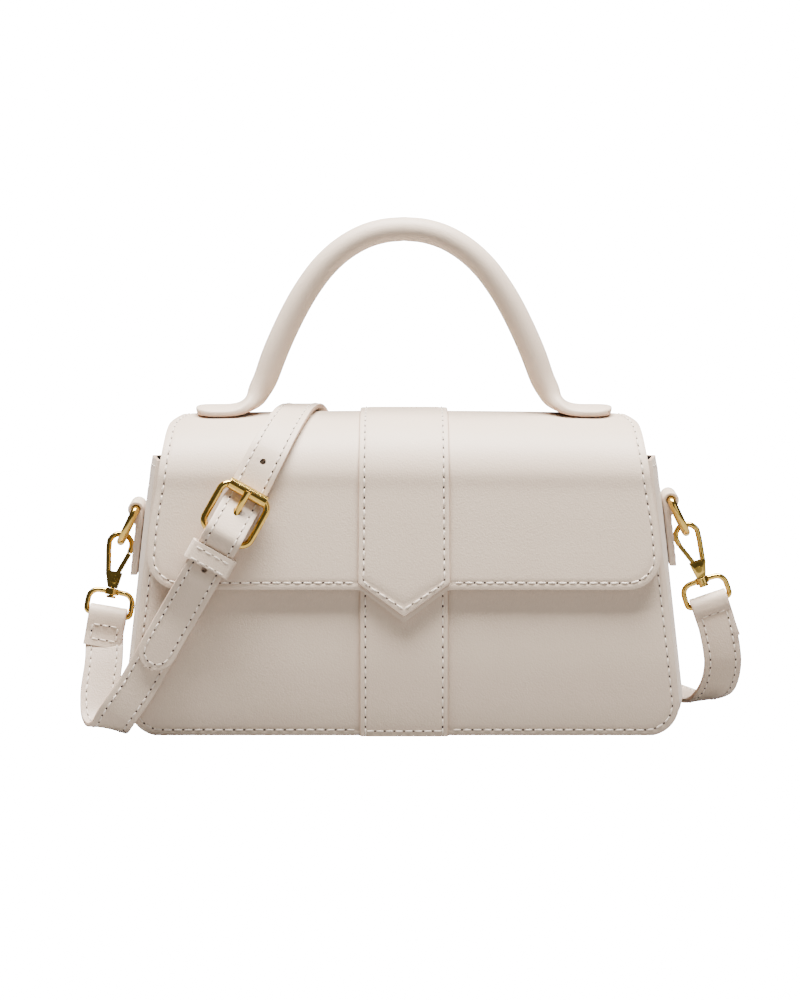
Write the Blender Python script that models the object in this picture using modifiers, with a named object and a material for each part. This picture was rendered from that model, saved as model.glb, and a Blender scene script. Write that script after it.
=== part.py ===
"""Crossbody bag with a flap, a rolled top handle and an adjustable shoulder strap on snap hooks.

Frame: +X to the wearer's right as seen from the front, +Y to the back, +Z up.
The origin is the centre of the flat underside. All lengths are in metres.
"""

import math

import bmesh
import bpy
from mathutils import Matrix, Vector

MM = 0.001
GAP = 0.3 * MM  # clearance kept between pieces that touch

# Body: front and back panels with a gusset strip between them
PANEL_WIDTH = 220 * MM
PANEL_TOP_WIDTH = 197 * MM
PANEL_HEIGHT = 110 * MM
CORNER_RADIUS = 13 * MM
BODY_DEPTH = 76 * MM
PANEL_WALL = 2.0 * MM
GUSSET_WALL = 1.8 * MM
GUSSET_INSET = 0.5 * MM  # the panels' edges stand this far proud of the gusset
GUSSET_BULGE = 4.4 * MM

# Flap: sewn to the back panel, over the top and down the front
FLAP_TOP = 126.2 * MM  # height of its outer surface at the middle of the top
FLAP_WIDTH = 205 * MM
FLAP_WALL = 2.2 * MM
FLAP_EDGE_HEIGHT = 59.8 * MM  # the straight lower edge
FLAP_CORNER_RADIUS = 14 * MM
FLAP_STAND = 2.3 * MM  # air between the front panel and the flap
FLAP_CROWN = 1.5 * MM  # the ends of the top lie this much lower than its middle
FLAP_BACK_EDGE = 84 * MM
FLAP_SPRING = 99 * MM  # height at which its front starts to bend over
FLAP_SQUARENESS = 2.2  # 2 bends it as an ellipse, more makes the top flatter
TIP_HALF_WIDTH = 17.4 * MM
TIP_DROP = 13.2 * MM

# Bands down the middle of the flap and of the front panel
BAND_WALL = 1.3 * MM
BAND_WIDTH = 35.4 * MM
BAND_TIP_SETBACK = 2.4 * MM

# Handle
HANDLE_FOOT_SPAN = 168 * MM
HANDLE_CLEAR = 69 * MM  # free height under its middle
HANDLE_DIAMETER = 10.4 * MM
HANDLE_SIDES = 12
TONGUE_WIDTH = 20 * MM
TONGUE_WALL = 3.5 * MM

# Side tabs and D-rings
TAB_WIDTH = 15 * MM
TAB_LAYER = 1.4 * MM
TAB_DROP = 27 * MM  # from the D-ring's bar down to the tab's lower end
RING_WIRE = 3.3 * MM
RING_WIDTH = 19.3 * MM  # between the centres of the wire
RING_REACH = 15.8 * MM  # from the bar's centre to the centre of the bow
LEFT_BAR_HEIGHT = 87.2 * MM
RIGHT_BAR_HEIGHT = 91.0 * MM
RING_SWING = math.radians(19.2)  # how far the rings hang out from the body's side

# Snap hooks
HOOK_LENGTH = 20.3 * MM  # from the rivet to the top of the pear
HOOK_WIDTH = 11.6 * MM
HOOK_WIRE = 2.3 * MM
RIVET_RADIUS = 2.2 * MM
PIN_RADIUS = 0.7 * MM
LOOP_WIRE = 2.3 * MM
LOOP_WIDTH = 18.0 * MM  # between the centres of the wire
LOOP_HEIGHT = 9.4 * MM
LOOP_TOP_CORNER = 4.0 * MM
LOOP_LOW_CORNER = 1.6 * MM
BASE_DEPTH = 4.4 * MM  # front to back over the hook's base
BASE_DROP = 3.3 * MM  # from the rivet to the underside of the base
GATE_DEPTH = 2.0 * MM
GATE_REACH = 12.0 * MM
GATE_WIDTH = 1.9 * MM
EYE_RADIUS = 1.5 * MM
BOSS_HEIGHT = 2.6 * MM
BOSS_RADIUS = 2.7 * MM
POST_RADIUS = 0.95 * MM
FLANGE_RADIUS = 1.9 * MM
FLANGE_HEIGHT = 1.0 * MM
LEFT_TILT = math.radians(3.2)  # how far the hooks hang out from the body's side
RIGHT_TILT = math.radians(12.2)
LEFT_LEAN = math.radians(14)  # how far the strap draws them forwards
RIGHT_LEAN = math.radians(4)

# Strap
STRAP_WIDTH = 15.4 * MM
STRAP_WALL = 2.0 * MM
STRAP_SLOPE = math.radians(60.3)  # up the front, from the horizontal
STRAP_TURN = math.radians(68)  # over the flap, from the flap's width
STRAP_LIFT = 1.2 * MM  # air under it where it lies over the flap
STRAP_LONGEST_STEP = 7 * MM
STRAP_SHORTEST_STEP = 0.8 * MM
STRAP_TURN_STEP = math.radians(17)
FRONT_RUN = (-1.0, -0.8, -0.6, -0.45, -0.3, -0.2, -0.115)  # shares of the tail's length
TIP_ROWS = (0.0, 0.4 * MM, 1.2 * MM, 2.6 * MM, 4.6 * MM, 7.7 * MM)
HINGE_X = -71.3 * MM
HINGE_HEIGHT = 82.2 * MM
HOLE_PITCH = 25 * MM
HOLE_RADIUS = 1.2 * MM
HOLE_SLACK = 2 * MM  # extra strap taken up by the dip under the roller
PRONG_HOLE = 11 * MM  # from the hinge bar to the hole in use
TAIL_LENGTH = 61 * MM  # from the hinge bar to the end of the tail
RETURN_LENGTH = 18 * MM  # of the short strap folded back behind the hinge bar
FOLD_LENGTH = 13.5 * MM  # of the straps folded back below the hooks' loops

# Buckle and keeper
BUCKLE_WIRE = 2.8 * MM
BUCKLE_REACH = 19.6 * MM  # between the hinge bar and the roller
BUCKLE_WIDTH = 20.4 * MM  # between the centres of the side bars
BUCKLE_CORNER = 1.9 * MM
ROLLER_RADIUS = 2.4 * MM
PRONG_WIRE = 2.7 * MM
PRONG_SLOT = 3.6 * MM
SLEEVE_RADIUS = 2.6 * MM
SLEEVE_LENGTH = 2.8 * MM
KEEPER_LENGTH = 7.8 * MM  # along the strap
KEEPER_WALL = 1.2 * MM
KEEPER_AIR = 0.8 * MM  # between the keeper and the straps inside it
KEEPER_OFFSET = 10.1 * MM  # from the hinge bar to its middle

LEATHER = (0.74, 0.66, 0.59)
GOLD = (0.83, 0.60, 0.24)

HALF_DEPTH = BODY_DEPTH / 2

# Side outline of the body
BODY_PROFILE = (
    # height share, depth share
    (0.00, 0.965),
    (0.12, 0.995),
    (0.30, 1.000),
    (0.55, 0.930),
    (0.80, 0.830),
    (1.00, 0.740),
)

# Half width of the flap from its back edge to its front edge
FLAP_OUTLINE = (
    # path share, width share
    (0.00, 0.945),
    (0.25, 0.905),
    (0.42, 0.885),
    (0.55, 0.905),
    (0.70, 0.950),
    (0.84, 0.985),
    (1.00, 1.000),
)

# Right half of the handle, from the end of its tongue to its middle. A share of 0 is the tube's
# diameter and of 1 is the tongue's width or wall.
HANDLE_SECTIONS = (
    # span share, rise share, tongue width share, tongue wall share, squareness
    (1.000, 0.000, -0.35, 1.08, 3.0),
    (0.988, 0.000, 0.35, 1.03, 3.5),
    (0.960, 0.000, 0.80, 1.00, 4.0),
    (0.915, 0.000, 1.00, 1.00, 4.0),
    (0.840, 0.000, 1.00, 1.00, 4.0),
    (0.785, 0.003, 0.92, 0.88, 3.6),
    (0.745, 0.012, 0.66, 0.62, 2.8),
    (0.716, 0.030, 0.30, 0.32, 2.3),
    (0.694, 0.070, 0.08, 0.14, 2.0),
    (0.665, 0.135, 0.00, 0.05, 2.0),
    (0.628, 0.255, 0.00, 0.00, 2.0),
    (0.582, 0.385, 0.00, 0.00, 2.0),
    (0.523, 0.530, 0.00, 0.00, 2.0),
    (0.462, 0.655, 0.00, 0.01, 2.0),
    (0.388, 0.775, 0.00, 0.02, 2.0),
    (0.300, 0.875, 0.00, 0.04, 2.0),
    (0.200, 0.948, 0.00, 0.06, 2.0),
    (0.100, 0.987, 0.00, 0.08, 2.0),
    (0.000, 1.000, 0.00, 0.10, 2.0),
)

# Free bend of the short strap beside the bag, from the left hook down to the front of the body
LEFT_BEND = (
    # half width share, half depth share, share of the loop's height, normal x, y, z
    (-1.108, -0.400, 0.600, 0.00, 0.75, -0.60),
    (-1.119, -0.600, 0.330, -0.05, 0.78, -0.60),
    (-1.112, -0.740, 0.160, -0.15, 0.65, -0.80),
    (-1.092, -0.870, 0.090, -0.22, 0.20, -0.95),
    (-1.068, -0.990, 0.100, -0.22, -0.45, -0.85),
    (-1.043, -1.070, 0.200, -0.10, -0.95, -0.35),
)

# Long strap from the roller over the flap
OVER_RUN = (
    # shares of the way and of the drift from the roller to the flap's middle line
    (0.30, 0.435),
    (0.50, 0.668),
    (0.70, 0.837),
    (0.85, 0.924),
    (1.00, 1.000),
    (1.15, 1.065),
    (1.35, 1.158),
    (1.60, 1.290),
)

# Long strap from the back of the flap down to the ground, over itself and round to the right hook
BACK_RUN = (
    # half width share, half depth share, share of the flap's height, normal x, y, z
    (-0.315, 0.930, 0.850, 0.00, 1.00, 0.35),
    (-0.268, 1.030, 0.720, 0.00, 1.00, 0.20),
    (-0.220, 1.120, 0.560, 0.00, 1.00, 0.15),
    (-0.170, 1.220, 0.400, 0.00, 1.00, 0.15),
    (-0.124, 1.380, 0.240, 0.00, 1.00, 0.30),
    (-0.080, 1.720, 0.105, 0.00, 0.70, 0.70),
    (-0.035, 2.250, 0.030, 0.00, 0.20, 1.00),
    (0.000, 2.950, 0.013, 0.00, 0.00, 1.00),
    (0.050, 3.850, 0.013, 0.00, 0.00, 1.00),
    (0.095, 4.650, 0.026, 0.00, -0.20, 1.00),
    (0.130, 5.180, 0.085, 0.00, -0.80, 0.60),
    (0.160, 5.340, 0.170, 0.00, -1.00, 0.00),
    (0.195, 5.200, 0.255, 0.00, -0.65, -0.75),
    (0.250, 4.800, 0.292, 0.00, 0.05, -1.00),
    (0.345, 4.050, 0.238, 0.00, 0.28, -1.00),
    (0.465, 3.250, 0.130, 0.00, 0.25, -1.00),
    (0.590, 2.550, 0.042, 0.00, 0.12, -1.00),
    (0.720, 2.020, 0.014, 0.00, 0.00, -1.00),
    (0.880, 1.700, 0.013, 0.00, 0.00, -1.00),
    (1.010, 1.290, 0.013, 0.00, 0.00, -1.00),
    (1.090, 0.780, 0.016, 0.05, -0.05, -1.00),
    (1.140, 0.290, 0.042, 0.20, -0.50, -0.85),
    (1.178, 0.020, 0.105, 0.15, -1.00, -0.30),
    (1.189, -0.090, 0.190, 0.05, -1.00, 0.00),
)


def clear_scene():
    for obj in list(bpy.data.objects):
        bpy.data.objects.remove(obj, do_unlink=True)


def material(name, colour, metallic, roughness):
    made = bpy.data.materials.new(name)
    made.use_nodes = True
    shader = made.node_tree.nodes["Principled BSDF"]
    shader.inputs["Base Color"].default_value = (*colour, 1)
    shader.inputs["Metallic"].default_value = metallic
    shader.inputs["Roughness"].default_value = roughness
    made.diffuse_color = (*colour, 1)
    return made


def finish_object(name, mesh, look, smooth=True):
    obj = bpy.data.objects.new(name, mesh)
    bag.objects.link(obj)
    mesh.materials.clear()
    mesh.materials.append(material(name, *look))
    if smooth:
        mesh.shade_smooth()
        mesh.set_sharp_from_angle(angle=math.radians(40))
    return obj


LEATHER_LOOK = (LEATHER, 0.0, 0.5)
GOLD_LOOK = (GOLD, 1.0, 0.2)


# Curves through tables

def smooth_value(table, x, column=1):
    """Value of a column at x, on a smooth curve through the table's rows."""
    rows = [(row[0], row[column]) for row in table]
    if x <= rows[0][0]:
        return rows[0][1]
    if x >= rows[-1][0]:
        return rows[-1][1]
    i = max(k for k in range(len(rows) - 1) if rows[k][0] <= x)

    def slope(k):
        low, high = max(k - 1, 0), min(k + 1, len(rows) - 1)
        return (rows[high][1] - rows[low][1]) / (rows[high][0] - rows[low][0])

    x0, y0 = rows[i]
    x1, y1 = rows[i + 1]
    h = x1 - x0
    t = (x - x0) / h
    return (
        (2 * t**3 - 3 * t**2 + 1) * y0
        + (t**3 - 2 * t**2 + t) * h * slope(i)
        + (-2 * t**3 + 3 * t**2) * y1
        + (t**3 - t**2) * h * slope(i + 1)
    )


def spline(points, steps=8):
    """Dense points on a smooth curve through the given vectors, knots spaced by chord length."""
    points = [Vector(p) for p in points]
    first = points[0] * 2 - points[1]
    last = points[-1] * 2 - points[-2]
    points = [first, *points, last]
    dense = []
    for i in range(1, len(points) - 2):
        p0, p1, p2, p3 = points[i - 1 : i + 3]
        t0 = 0.0
        t1 = t0 + max((p1 - p0).length, 1e-9) ** 0.5
        t2 = t1 + max((p2 - p1).length, 1e-9) ** 0.5
        t3 = t2 + max((p3 - p2).length, 1e-9) ** 0.5
        for k in range(steps):
            t = t1 + (t2 - t1) * k / steps
            a1 = p0 * ((t1 - t) / (t1 - t0)) + p1 * ((t - t0) / (t1 - t0))
            a2 = p1 * ((t2 - t) / (t2 - t1)) + p2 * ((t - t1) / (t2 - t1))
            a3 = p2 * ((t3 - t) / (t3 - t2)) + p3 * ((t - t2) / (t3 - t2))
            b1 = a1 * ((t2 - t) / (t2 - t0)) + a2 * ((t - t0) / (t2 - t0))
            b2 = a2 * ((t3 - t) / (t3 - t1)) + a3 * ((t - t1) / (t3 - t1))
            dense.append(b1 * ((t2 - t) / (t2 - t1)) + b2 * ((t - t1) / (t2 - t1)))
    dense.append(points[-2])
    return dense


def spread(low, high, count):
    """Evenly spaced values after low up to and with high."""
    return [low + (high - low) * k / count for k in range(1, count + 1)]


class Path:
    """A polyline that is walked by length."""

    def __init__(self, points):
        self.points = points
        self.marks = [0.0]
        for a, b in zip(points, points[1:]):
            self.marks.append(self.marks[-1] + (b - a).length)
        self.length = self.marks[-1]

    def at(self, distance):
        """(point, direction) at a distance from the start."""
        distance = min(max(distance, 0.0), self.length)
        i = 0
        while i < len(self.marks) - 2 and self.marks[i + 1] < distance:
            i += 1
        span = max(self.marks[i + 1] - self.marks[i], 1e-12)
        share = (distance - self.marks[i]) / span
        point = self.points[i].lerp(self.points[i + 1], share)
        low = self.points[max(i - 1, 0)]
        high = self.points[min(i + 2, len(self.points) - 1)]
        return point, (high - low).normalized()


# Shape builders

def sheet(name, rows, columns, place, wall, look, outward=True):
    """A grid bent by place(row share, column share) and thickened by Solidify along its normals."""
    bm = bmesh.new()
    bmesh.ops.create_grid(bm, x_segments=len(columns) - 1, y_segments=len(rows) - 1, size=0.5)
    for vertex in bm.verts:
        column = round((vertex.co.x + 0.5) * (len(columns) - 1))
        row = round((vertex.co.y + 0.5) * (len(rows) - 1))
        vertex.co = place(rows[row], columns[column])
    mesh = bpy.data.meshes.new(name)
    bm.to_mesh(mesh)
    bm.free()
    obj = finish_object(name, mesh, look)
    solid = obj.modifiers.new("wall", "SOLIDIFY")
    solid.thickness = wall
    solid.offset = 1.0 if outward else -1.0
    solid.use_even_offset = True
    return obj


def loft(name, sections, look, smooth=True):
    """A closed skin through rings with the same number of points, with flat ends."""
    bm = bmesh.new()
    rings = [[bm.verts.new(p) for p in section] for section in sections]
    count = len(rings[0])
    for ring, following in zip(rings, rings[1:]):
        for i in range(count):
            j = (i + 1) % count
            bm.faces.new((ring[i], ring[j], following[j], following[i]))
    bm.faces.new(list(reversed(rings[0])))
    bm.faces.new(rings[-1])
    bmesh.ops.recalc_face_normals(bm, faces=bm.faces)
    mesh = bpy.data.meshes.new(name)
    bm.to_mesh(mesh)
    bm.free()
    return finish_object(name, mesh, look, smooth)


def ribbon_frames(stations, first=(0.0,)):
    """(point, across, normal) along a smooth curve through (point, normal) stations.

    The first rows lie at the given distances, and the rest are as far apart as its bends allow.
    """
    path = Path(spline([p for p, _ in stations]))
    normals = spline([n.normalized() for _, n in stations])
    distances = list(first)
    turned = 0.0
    for k in range(1, len(path.marks) - 1):
        before = path.points[k] - path.points[k - 1]
        after = path.points[k + 1] - path.points[k]
        turned += before.angle(after) + normals[k - 1].angle(normals[k]) / 3
        since = path.marks[k] - distances[-1]
        if since > STRAP_SHORTEST_STEP and (turned > STRAP_TURN_STEP or since > STRAP_LONGEST_STEP):
            distances.append(path.marks[k])
            turned = 0.0
    distances.append(path.length)
    frames = []
    for distance in distances:
        point, direction = path.at(distance)
        i = 0
        while i < len(path.marks) - 2 and path.marks[i + 1] < distance:
            i += 1
        share = (distance - path.marks[i]) / max(path.marks[i + 1] - path.marks[i], 1e-12)
        normal = normals[i].lerp(normals[i + 1], min(max(share, 0), 1))
        across = direction.cross(normal).normalized()
        frames.append((point, across, across.cross(direction).normalized()))
    return frames


def ribbon(name, frames, width, wall, look, widths=None):
    """A flat strip with square edges along the frames; widths holds a share for each frame."""
    sections = []
    for k, (point, across, normal) in enumerate(frames):
        half = width / 2 * (widths[k] if widths else 1.0)
        out = normal * (wall / 2)
        side = across * half
        sections.append([point - side - out, point + side - out, point + side + out, point - side + out])
    return loft(name, sections, look, smooth=True)


def wire(name, points, diameter, look, closed=False, sides=2):
    """A round wire through the points, as a mesh with welded ends."""
    curve = bpy.data.curves.new(name, "CURVE")
    curve.dimensions = "3D"
    curve.bevel_depth = diameter / 2
    curve.bevel_resolution = sides
    curve.use_fill_caps = True
    line = curve.splines.new("POLY")
    line.points.add(len(points) - 1)
    for slot, point in zip(line.points, points):
        slot.co = (*point, 1)
    line.use_cyclic_u = closed
    temporary = bpy.data.objects.new(name + "_curve", curve)
    bag.objects.link(temporary)
    graph = bpy.context.evaluated_depsgraph_get()
    mesh = bpy.data.meshes.new_from_object(temporary.evaluated_get(graph))
    bpy.data.objects.remove(temporary, do_unlink=True)
    bm = bmesh.new()
    bm.from_mesh(mesh)
    bmesh.ops.remove_doubles(bm, verts=bm.verts, dist=1e-6)
    bmesh.ops.recalc_face_normals(bm, faces=bm.faces)
    bm.to_mesh(mesh)
    bm.free()
    return finish_object(name, mesh, look)


def extruded(name, outline, half_thickness, look, smooth=True):
    """A flat outline in X and Z, extruded along Y to both sides of zero."""
    sections = [
        [Vector((x, -half_thickness, z)) for x, z in outline],
        [Vector((x, half_thickness, z)) for x, z in outline],
    ]
    return loft(name, sections, look, smooth)


def cylinder(name, radius, low, high, look, hole=0.0, sides=16):
    """A cylinder or tube along Z from low to high, turned from its profile."""
    bm = bmesh.new()
    bmesh.ops.create_cone(
        bm, cap_ends=True, segments=sides, radius1=radius, radius2=radius, depth=high - low
    )
    bmesh.ops.translate(bm, verts=bm.verts, vec=(0, 0, (low + high) / 2))
    mesh = bpy.data.meshes.new(name)
    bm.to_mesh(mesh)
    bm.free()
    obj = finish_object(name, mesh, look)
    if hole:
        cut(obj, cylinder(name + "_bore", hole, low - MM, high + MM, look, sides=sides))
    return obj


def apply_modifiers(obj):
    graph = bpy.context.evaluated_depsgraph_get()
    graph.update()
    mesh = bpy.data.meshes.new_from_object(obj.evaluated_get(graph))
    obj.modifiers.clear()
    old = obj.data
    obj.data = mesh
    bpy.data.meshes.remove(old)


def combine(obj, other, operation):
    step = obj.modifiers.new(operation.lower(), "BOOLEAN")
    step.operation = operation
    step.solver = "EXACT"
    step.object = other
    apply_modifiers(obj)
    bpy.data.objects.remove(other, do_unlink=True)


def cut(obj, cutter):
    combine(obj, cutter, "DIFFERENCE")


def join(obj, other):
    combine(obj, other, "UNION")


def move(obj, matrix):
    """Places a mesh by a matrix, turning its faces back if the matrix mirrors."""
    obj.data.transform(matrix)
    if matrix.determinant() < 0:
        obj.data.flip_normals()


def set_origin(obj, point):
    obj.data.transform(Matrix.Translation(-point))
    obj.location = point


def rounded_box(width, height, radius, steps=4):
    """Points of a rounded rectangle centred at zero, as (across, up), running round once."""
    points = []
    corners = ((1, 1, 0), (-1, 1, 90), (-1, -1, 180), (1, -1, 270))
    for sx, sy, start in corners:
        cx, cy = sx * (width / 2 - radius), sy * (height / 2 - radius)
        for k in range(steps + 1):
            angle = math.radians(start + 90 * k / steps)
            points.append((cx + radius * math.cos(angle), cy + radius * math.sin(angle)))
    return points


# Body

def reach(height):
    """Distance of the panels' outer faces from the middle plane."""
    return HALF_DEPTH * smooth_value(BODY_PROFILE, height / PANEL_HEIGHT)


def half_width(height):
    """Half width of the panels, without the rounded lower corners."""
    share = min(max((height - CORNER_RADIUS) / (PANEL_HEIGHT - CORNER_RADIUS), 0), 1)
    return (PANEL_WIDTH + (PANEL_TOP_WIDTH - PANEL_WIDTH) * share) / 2


def corner_cut(distance, radius):
    """How far a rounded corner has drawn an edge in, at a distance from the end of the piece."""
    if distance >= radius:
        return 0.0
    return radius - math.sqrt(max(radius**2 - (radius - distance) ** 2, 0))


def corner_rows(radius, steps=5):
    """Distances from the end of a piece at which its rounded corner has points."""
    return [radius * (1 - math.cos(math.radians(90 * k / steps))) for k in range(steps + 1)]


def build_panel(name, side):
    rows = [GAP, *corner_rows(CORNER_RADIUS)[1:], *spread(CORNER_RADIUS, PANEL_HEIGHT, 8)]

    def place(height, column):
        edge = half_width(height) - corner_cut(height, CORNER_RADIUS)
        return Vector((column * edge, side * (reach(height) - PANEL_WALL), height))

    return sheet(name, rows, (-1, -0.5, 0, 0.5, 1), place, PANEL_WALL, LEATHER_LOOK, side < 0)


def gusset_line(side_rows=8, corner_steps=6):
    """Outline of the gusset from the top left round to the top right, as (x, z, bulge share)."""
    left = []
    for height in [PANEL_HEIGHT, *spread(PANEL_HEIGHT, CORNER_RADIUS, side_rows)]:
        left.append((-(half_width(height) - GUSSET_INSET), height, 1.0))
    for angle in spread(0, math.pi / 2, corner_steps):
        x = PANEL_WIDTH / 2 - GUSSET_INSET - CORNER_RADIUS * (1 - math.cos(angle))
        left.append((-x, CORNER_RADIUS * (1 - math.sin(angle)), math.cos(angle) ** 2))
    return left + [(0.0, 0.0, 0.0)] + [(-x, z, bulge) for x, z, bulge in reversed(left)]


def gusset_side(height):
    """Outermost x of the gusset at a height."""
    return half_width(height) - GUSSET_INSET + GUSSET_BULGE


def side_lean(height):
    """Angle of the body's side from upright, below a D-ring's bar."""
    return math.atan2(gusset_side(height - TAB_DROP) - gusset_side(height), TAB_DROP)


def build_gusset():
    line = gusset_line()
    columns = [math.sin(angle) for angle in [-math.pi / 2, *spread(-math.pi / 2, math.pi / 2, 10)]]

    def place(row, column):
        x, z, bulge = line[row]
        x_before, z_before, _ = line[max(row - 1, 0)]
        x_after, z_after, _ = line[min(row + 1, len(line) - 1)]
        out = Vector((z_after - z_before, 0, x_before - x_after)).normalized()
        swell = GUSSET_BULGE * bulge * max(1 - column**2, 0) ** 0.75
        depth = reach(z) - PANEL_WALL - GAP
        return Vector((x, column * depth, z)) + out * swell

    return sheet("gusset", range(len(line)), columns, place, GUSSET_WALL, LEATHER_LOOK, False)


# Flap

def flap_points():
    """Inner outline of the flap from its back edge over the top and down to its tip."""
    rise_front = FLAP_TOP - FLAP_WALL - FLAP_SPRING
    rise_back = FLAP_TOP - FLAP_WALL - PANEL_HEIGHT
    reach_back = reach(PANEL_HEIGHT) + GAP
    reach_front = reach(FLAP_SPRING) + FLAP_STAND
    turns = spread(0, math.pi / 2, 6)
    share = 2 / FLAP_SQUARENESS
    points = []
    for height in [FLAP_BACK_EDGE, *spread(FLAP_BACK_EDGE, PANEL_HEIGHT, 3)]:
        points.append(Vector((0, reach(height) + GAP, height)))
    for turn in turns:
        across, up = max(math.cos(turn), 0) ** share, math.sin(turn) ** share
        points.append(Vector((0, reach_back * across, PANEL_HEIGHT + rise_back * up)))
    for turn in reversed(turns[:-1]):
        across, up = math.cos(turn) ** share, math.sin(turn) ** share
        points.append(Vector((0, -reach_front * across, FLAP_SPRING + rise_front * up)))
    for height in [FLAP_SPRING, *spread(FLAP_SPRING, FLAP_EDGE_HEIGHT - TIP_DROP, 5)]:
        points.append(Vector((0, -(reach(height) + FLAP_STAND), height)))
    return points


def flap_mark(axis, value):
    """Distance along the flap at which a coordinate of its front half has fallen to a value."""
    points, marks = flap_path.points, flap_path.marks
    for k in range(1, len(points)):
        before, after = points[k - 1][axis], points[k][axis]
        if points[k].y <= 1e-6 and before > value >= after:
            return marks[k - 1] + (marks[k] - marks[k - 1]) * (before - value) / (before - after)
    return flap_path.length


flap_path = Path(spline(flap_points()))
flap_middle = flap_mark(1, 0.0)
flap_edge = flap_mark(2, FLAP_EDGE_HEIGHT)


def on_flap(distance, x, offset):
    """(point, normal) at an offset outside the flap's inner face."""
    point, direction = flap_path.at(distance)
    normal = Vector((0, direction.z, -direction.y))
    drop = FLAP_CROWN * (2 * x / FLAP_WIDTH) ** 2 * max(normal.z, 0)
    return Vector((x, point.y, point.z - drop)) + normal * offset, normal


def flap_half_width(distance):
    return FLAP_WIDTH / 2 * smooth_value(FLAP_OUTLINE, distance / flap_edge)


def pointed(distance, x, edge, half, drop, ramp):
    """A distance along the flap, drawn out towards a pointed tip near the edge."""
    peak = drop * max(0, 1 - abs(x) / half)
    return distance + peak * max(0, 1 - (edge - distance) / ramp)


def flap_rows():
    corner = [flap_edge - value for value in reversed(corner_rows(FLAP_CORNER_RADIUS))]
    return [0.0, *spread(0, flap_edge - FLAP_CORNER_RADIUS, 26)][:-1] + corner


def build_flap():
    tip = TIP_HALF_WIDTH / (FLAP_WIDTH / 2 - FLAP_CORNER_RADIUS)
    right = [tip / 2, tip, 0.4, 0.6, 0.8, 0.93, 1.0]
    columns = [-c for c in reversed(right)] + [0.0] + right
    ramp = FLAP_CORNER_RADIUS * 1.5

    def place(distance, column):
        x = column * (flap_half_width(distance) - corner_cut(flap_edge - distance, FLAP_CORNER_RADIUS))
        along = pointed(distance, x, flap_edge, TIP_HALF_WIDTH, TIP_DROP, ramp)
        return on_flap(along, x, 0)[0]

    return sheet("flap", flap_rows(), columns, place, FLAP_WALL, LEATHER_LOOK, False)


def build_flap_band():
    edge = flap_edge - BAND_TIP_SETBACK
    rows = [row for row in flap_rows() if BAND_TIP_SETBACK < row < edge] + [edge]
    ramp = FLAP_CORNER_RADIUS * 1.5

    def place(distance, column):
        half = BAND_WIDTH / 2 * (0.975 + 0.06 * distance / flap_edge)
        x = column * half
        along = pointed(distance, x, edge, half, TIP_DROP, ramp)
        return on_flap(along, x, FLAP_WALL + GAP)[0]

    return sheet("flap_band", rows, (-1, -0.5, 0, 0.5, 1), place, BAND_WALL, LEATHER_LOOK, False)


def build_front_band():
    rows = [GAP, *spread(GAP, PANEL_HEIGHT - CORNER_RADIUS, 10)]

    def place(height, column):
        return Vector((column * BAND_WIDTH / 2, -(reach(height) + GAP), height))

    return sheet("front_band", rows, (-1, 0, 1), place, BAND_WALL, LEATHER_LOOK, True)


# Handle

def blend_sizes(low, high, share):
    return low + (high - low) * share


def build_handle():
    centres = []
    for span, rise, _, wall_share, _ in HANDLE_SECTIONS:
        x = span * HANDLE_FOOT_SPAN / 2
        seat = on_flap(flap_middle, x, FLAP_WALL)[0].z
        wall = blend_sizes(HANDLE_DIAMETER, TONGUE_WALL, wall_share)
        centres.append(Vector((x, 0, seat + GAP + wall / 2 + rise * HANDLE_CLEAR)))
    rings = []
    for k, (_, _, width_share, wall_share, squareness) in enumerate(HANDLE_SECTIONS):
        before = centres[max(k - 1, 0)]
        after = centres[k + 1] if k + 1 < len(centres) else Vector((-centres[k - 1].x, 0, centres[k - 1].z))
        direction = (after - before).normalized()
        up = Vector((direction.z, 0, -direction.x))
        half_across = blend_sizes(HANDLE_DIAMETER, TONGUE_WIDTH, width_share) / 2
        half_wall = blend_sizes(HANDLE_DIAMETER, TONGUE_WALL, wall_share) / 2
        ring = []
        for i in range(HANDLE_SIDES):
            turn = 2 * math.pi * (i + 0.5) / HANDLE_SIDES
            c, s = math.cos(turn), math.sin(turn)
            across = math.copysign(abs(c) ** (2 / squareness), c) * half_across
            over = math.copysign(abs(s) ** (2 / squareness), s) * half_wall
            sag = flap_sag(across) * min(max(width_share, 0), 1)
            ring.append(centres[k] + Vector((0, across, -sag)) + up * over)
        rings.append(ring)
    left = [[Vector((-p.x, p.y, p.z)) for p in ring] for ring in reversed(rings[:-1])]
    return loft("handle", rings + left, LEATHER_LOOK)


def flap_sag(across):
    """How far the top of the flap has dropped at a distance in front of its middle line."""
    share = min(abs(across) / (reach(FLAP_SPRING) + FLAP_STAND), 1)
    rise = FLAP_TOP - FLAP_WALL - FLAP_SPRING
    return rise * (1 - (1 - share**FLAP_SQUARENESS) ** (1 / FLAP_SQUARENESS))


# Side tabs, D-rings and snap hooks, built for the right and mirrored for the left

def bar_centre(side, height):
    """Centre of a D-ring's straight bar."""
    loop = RING_WIRE / 2 + GAP + TAB_LAYER
    return Vector((side * (gusset_side(height) + GAP + loop), 0, height))


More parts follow.
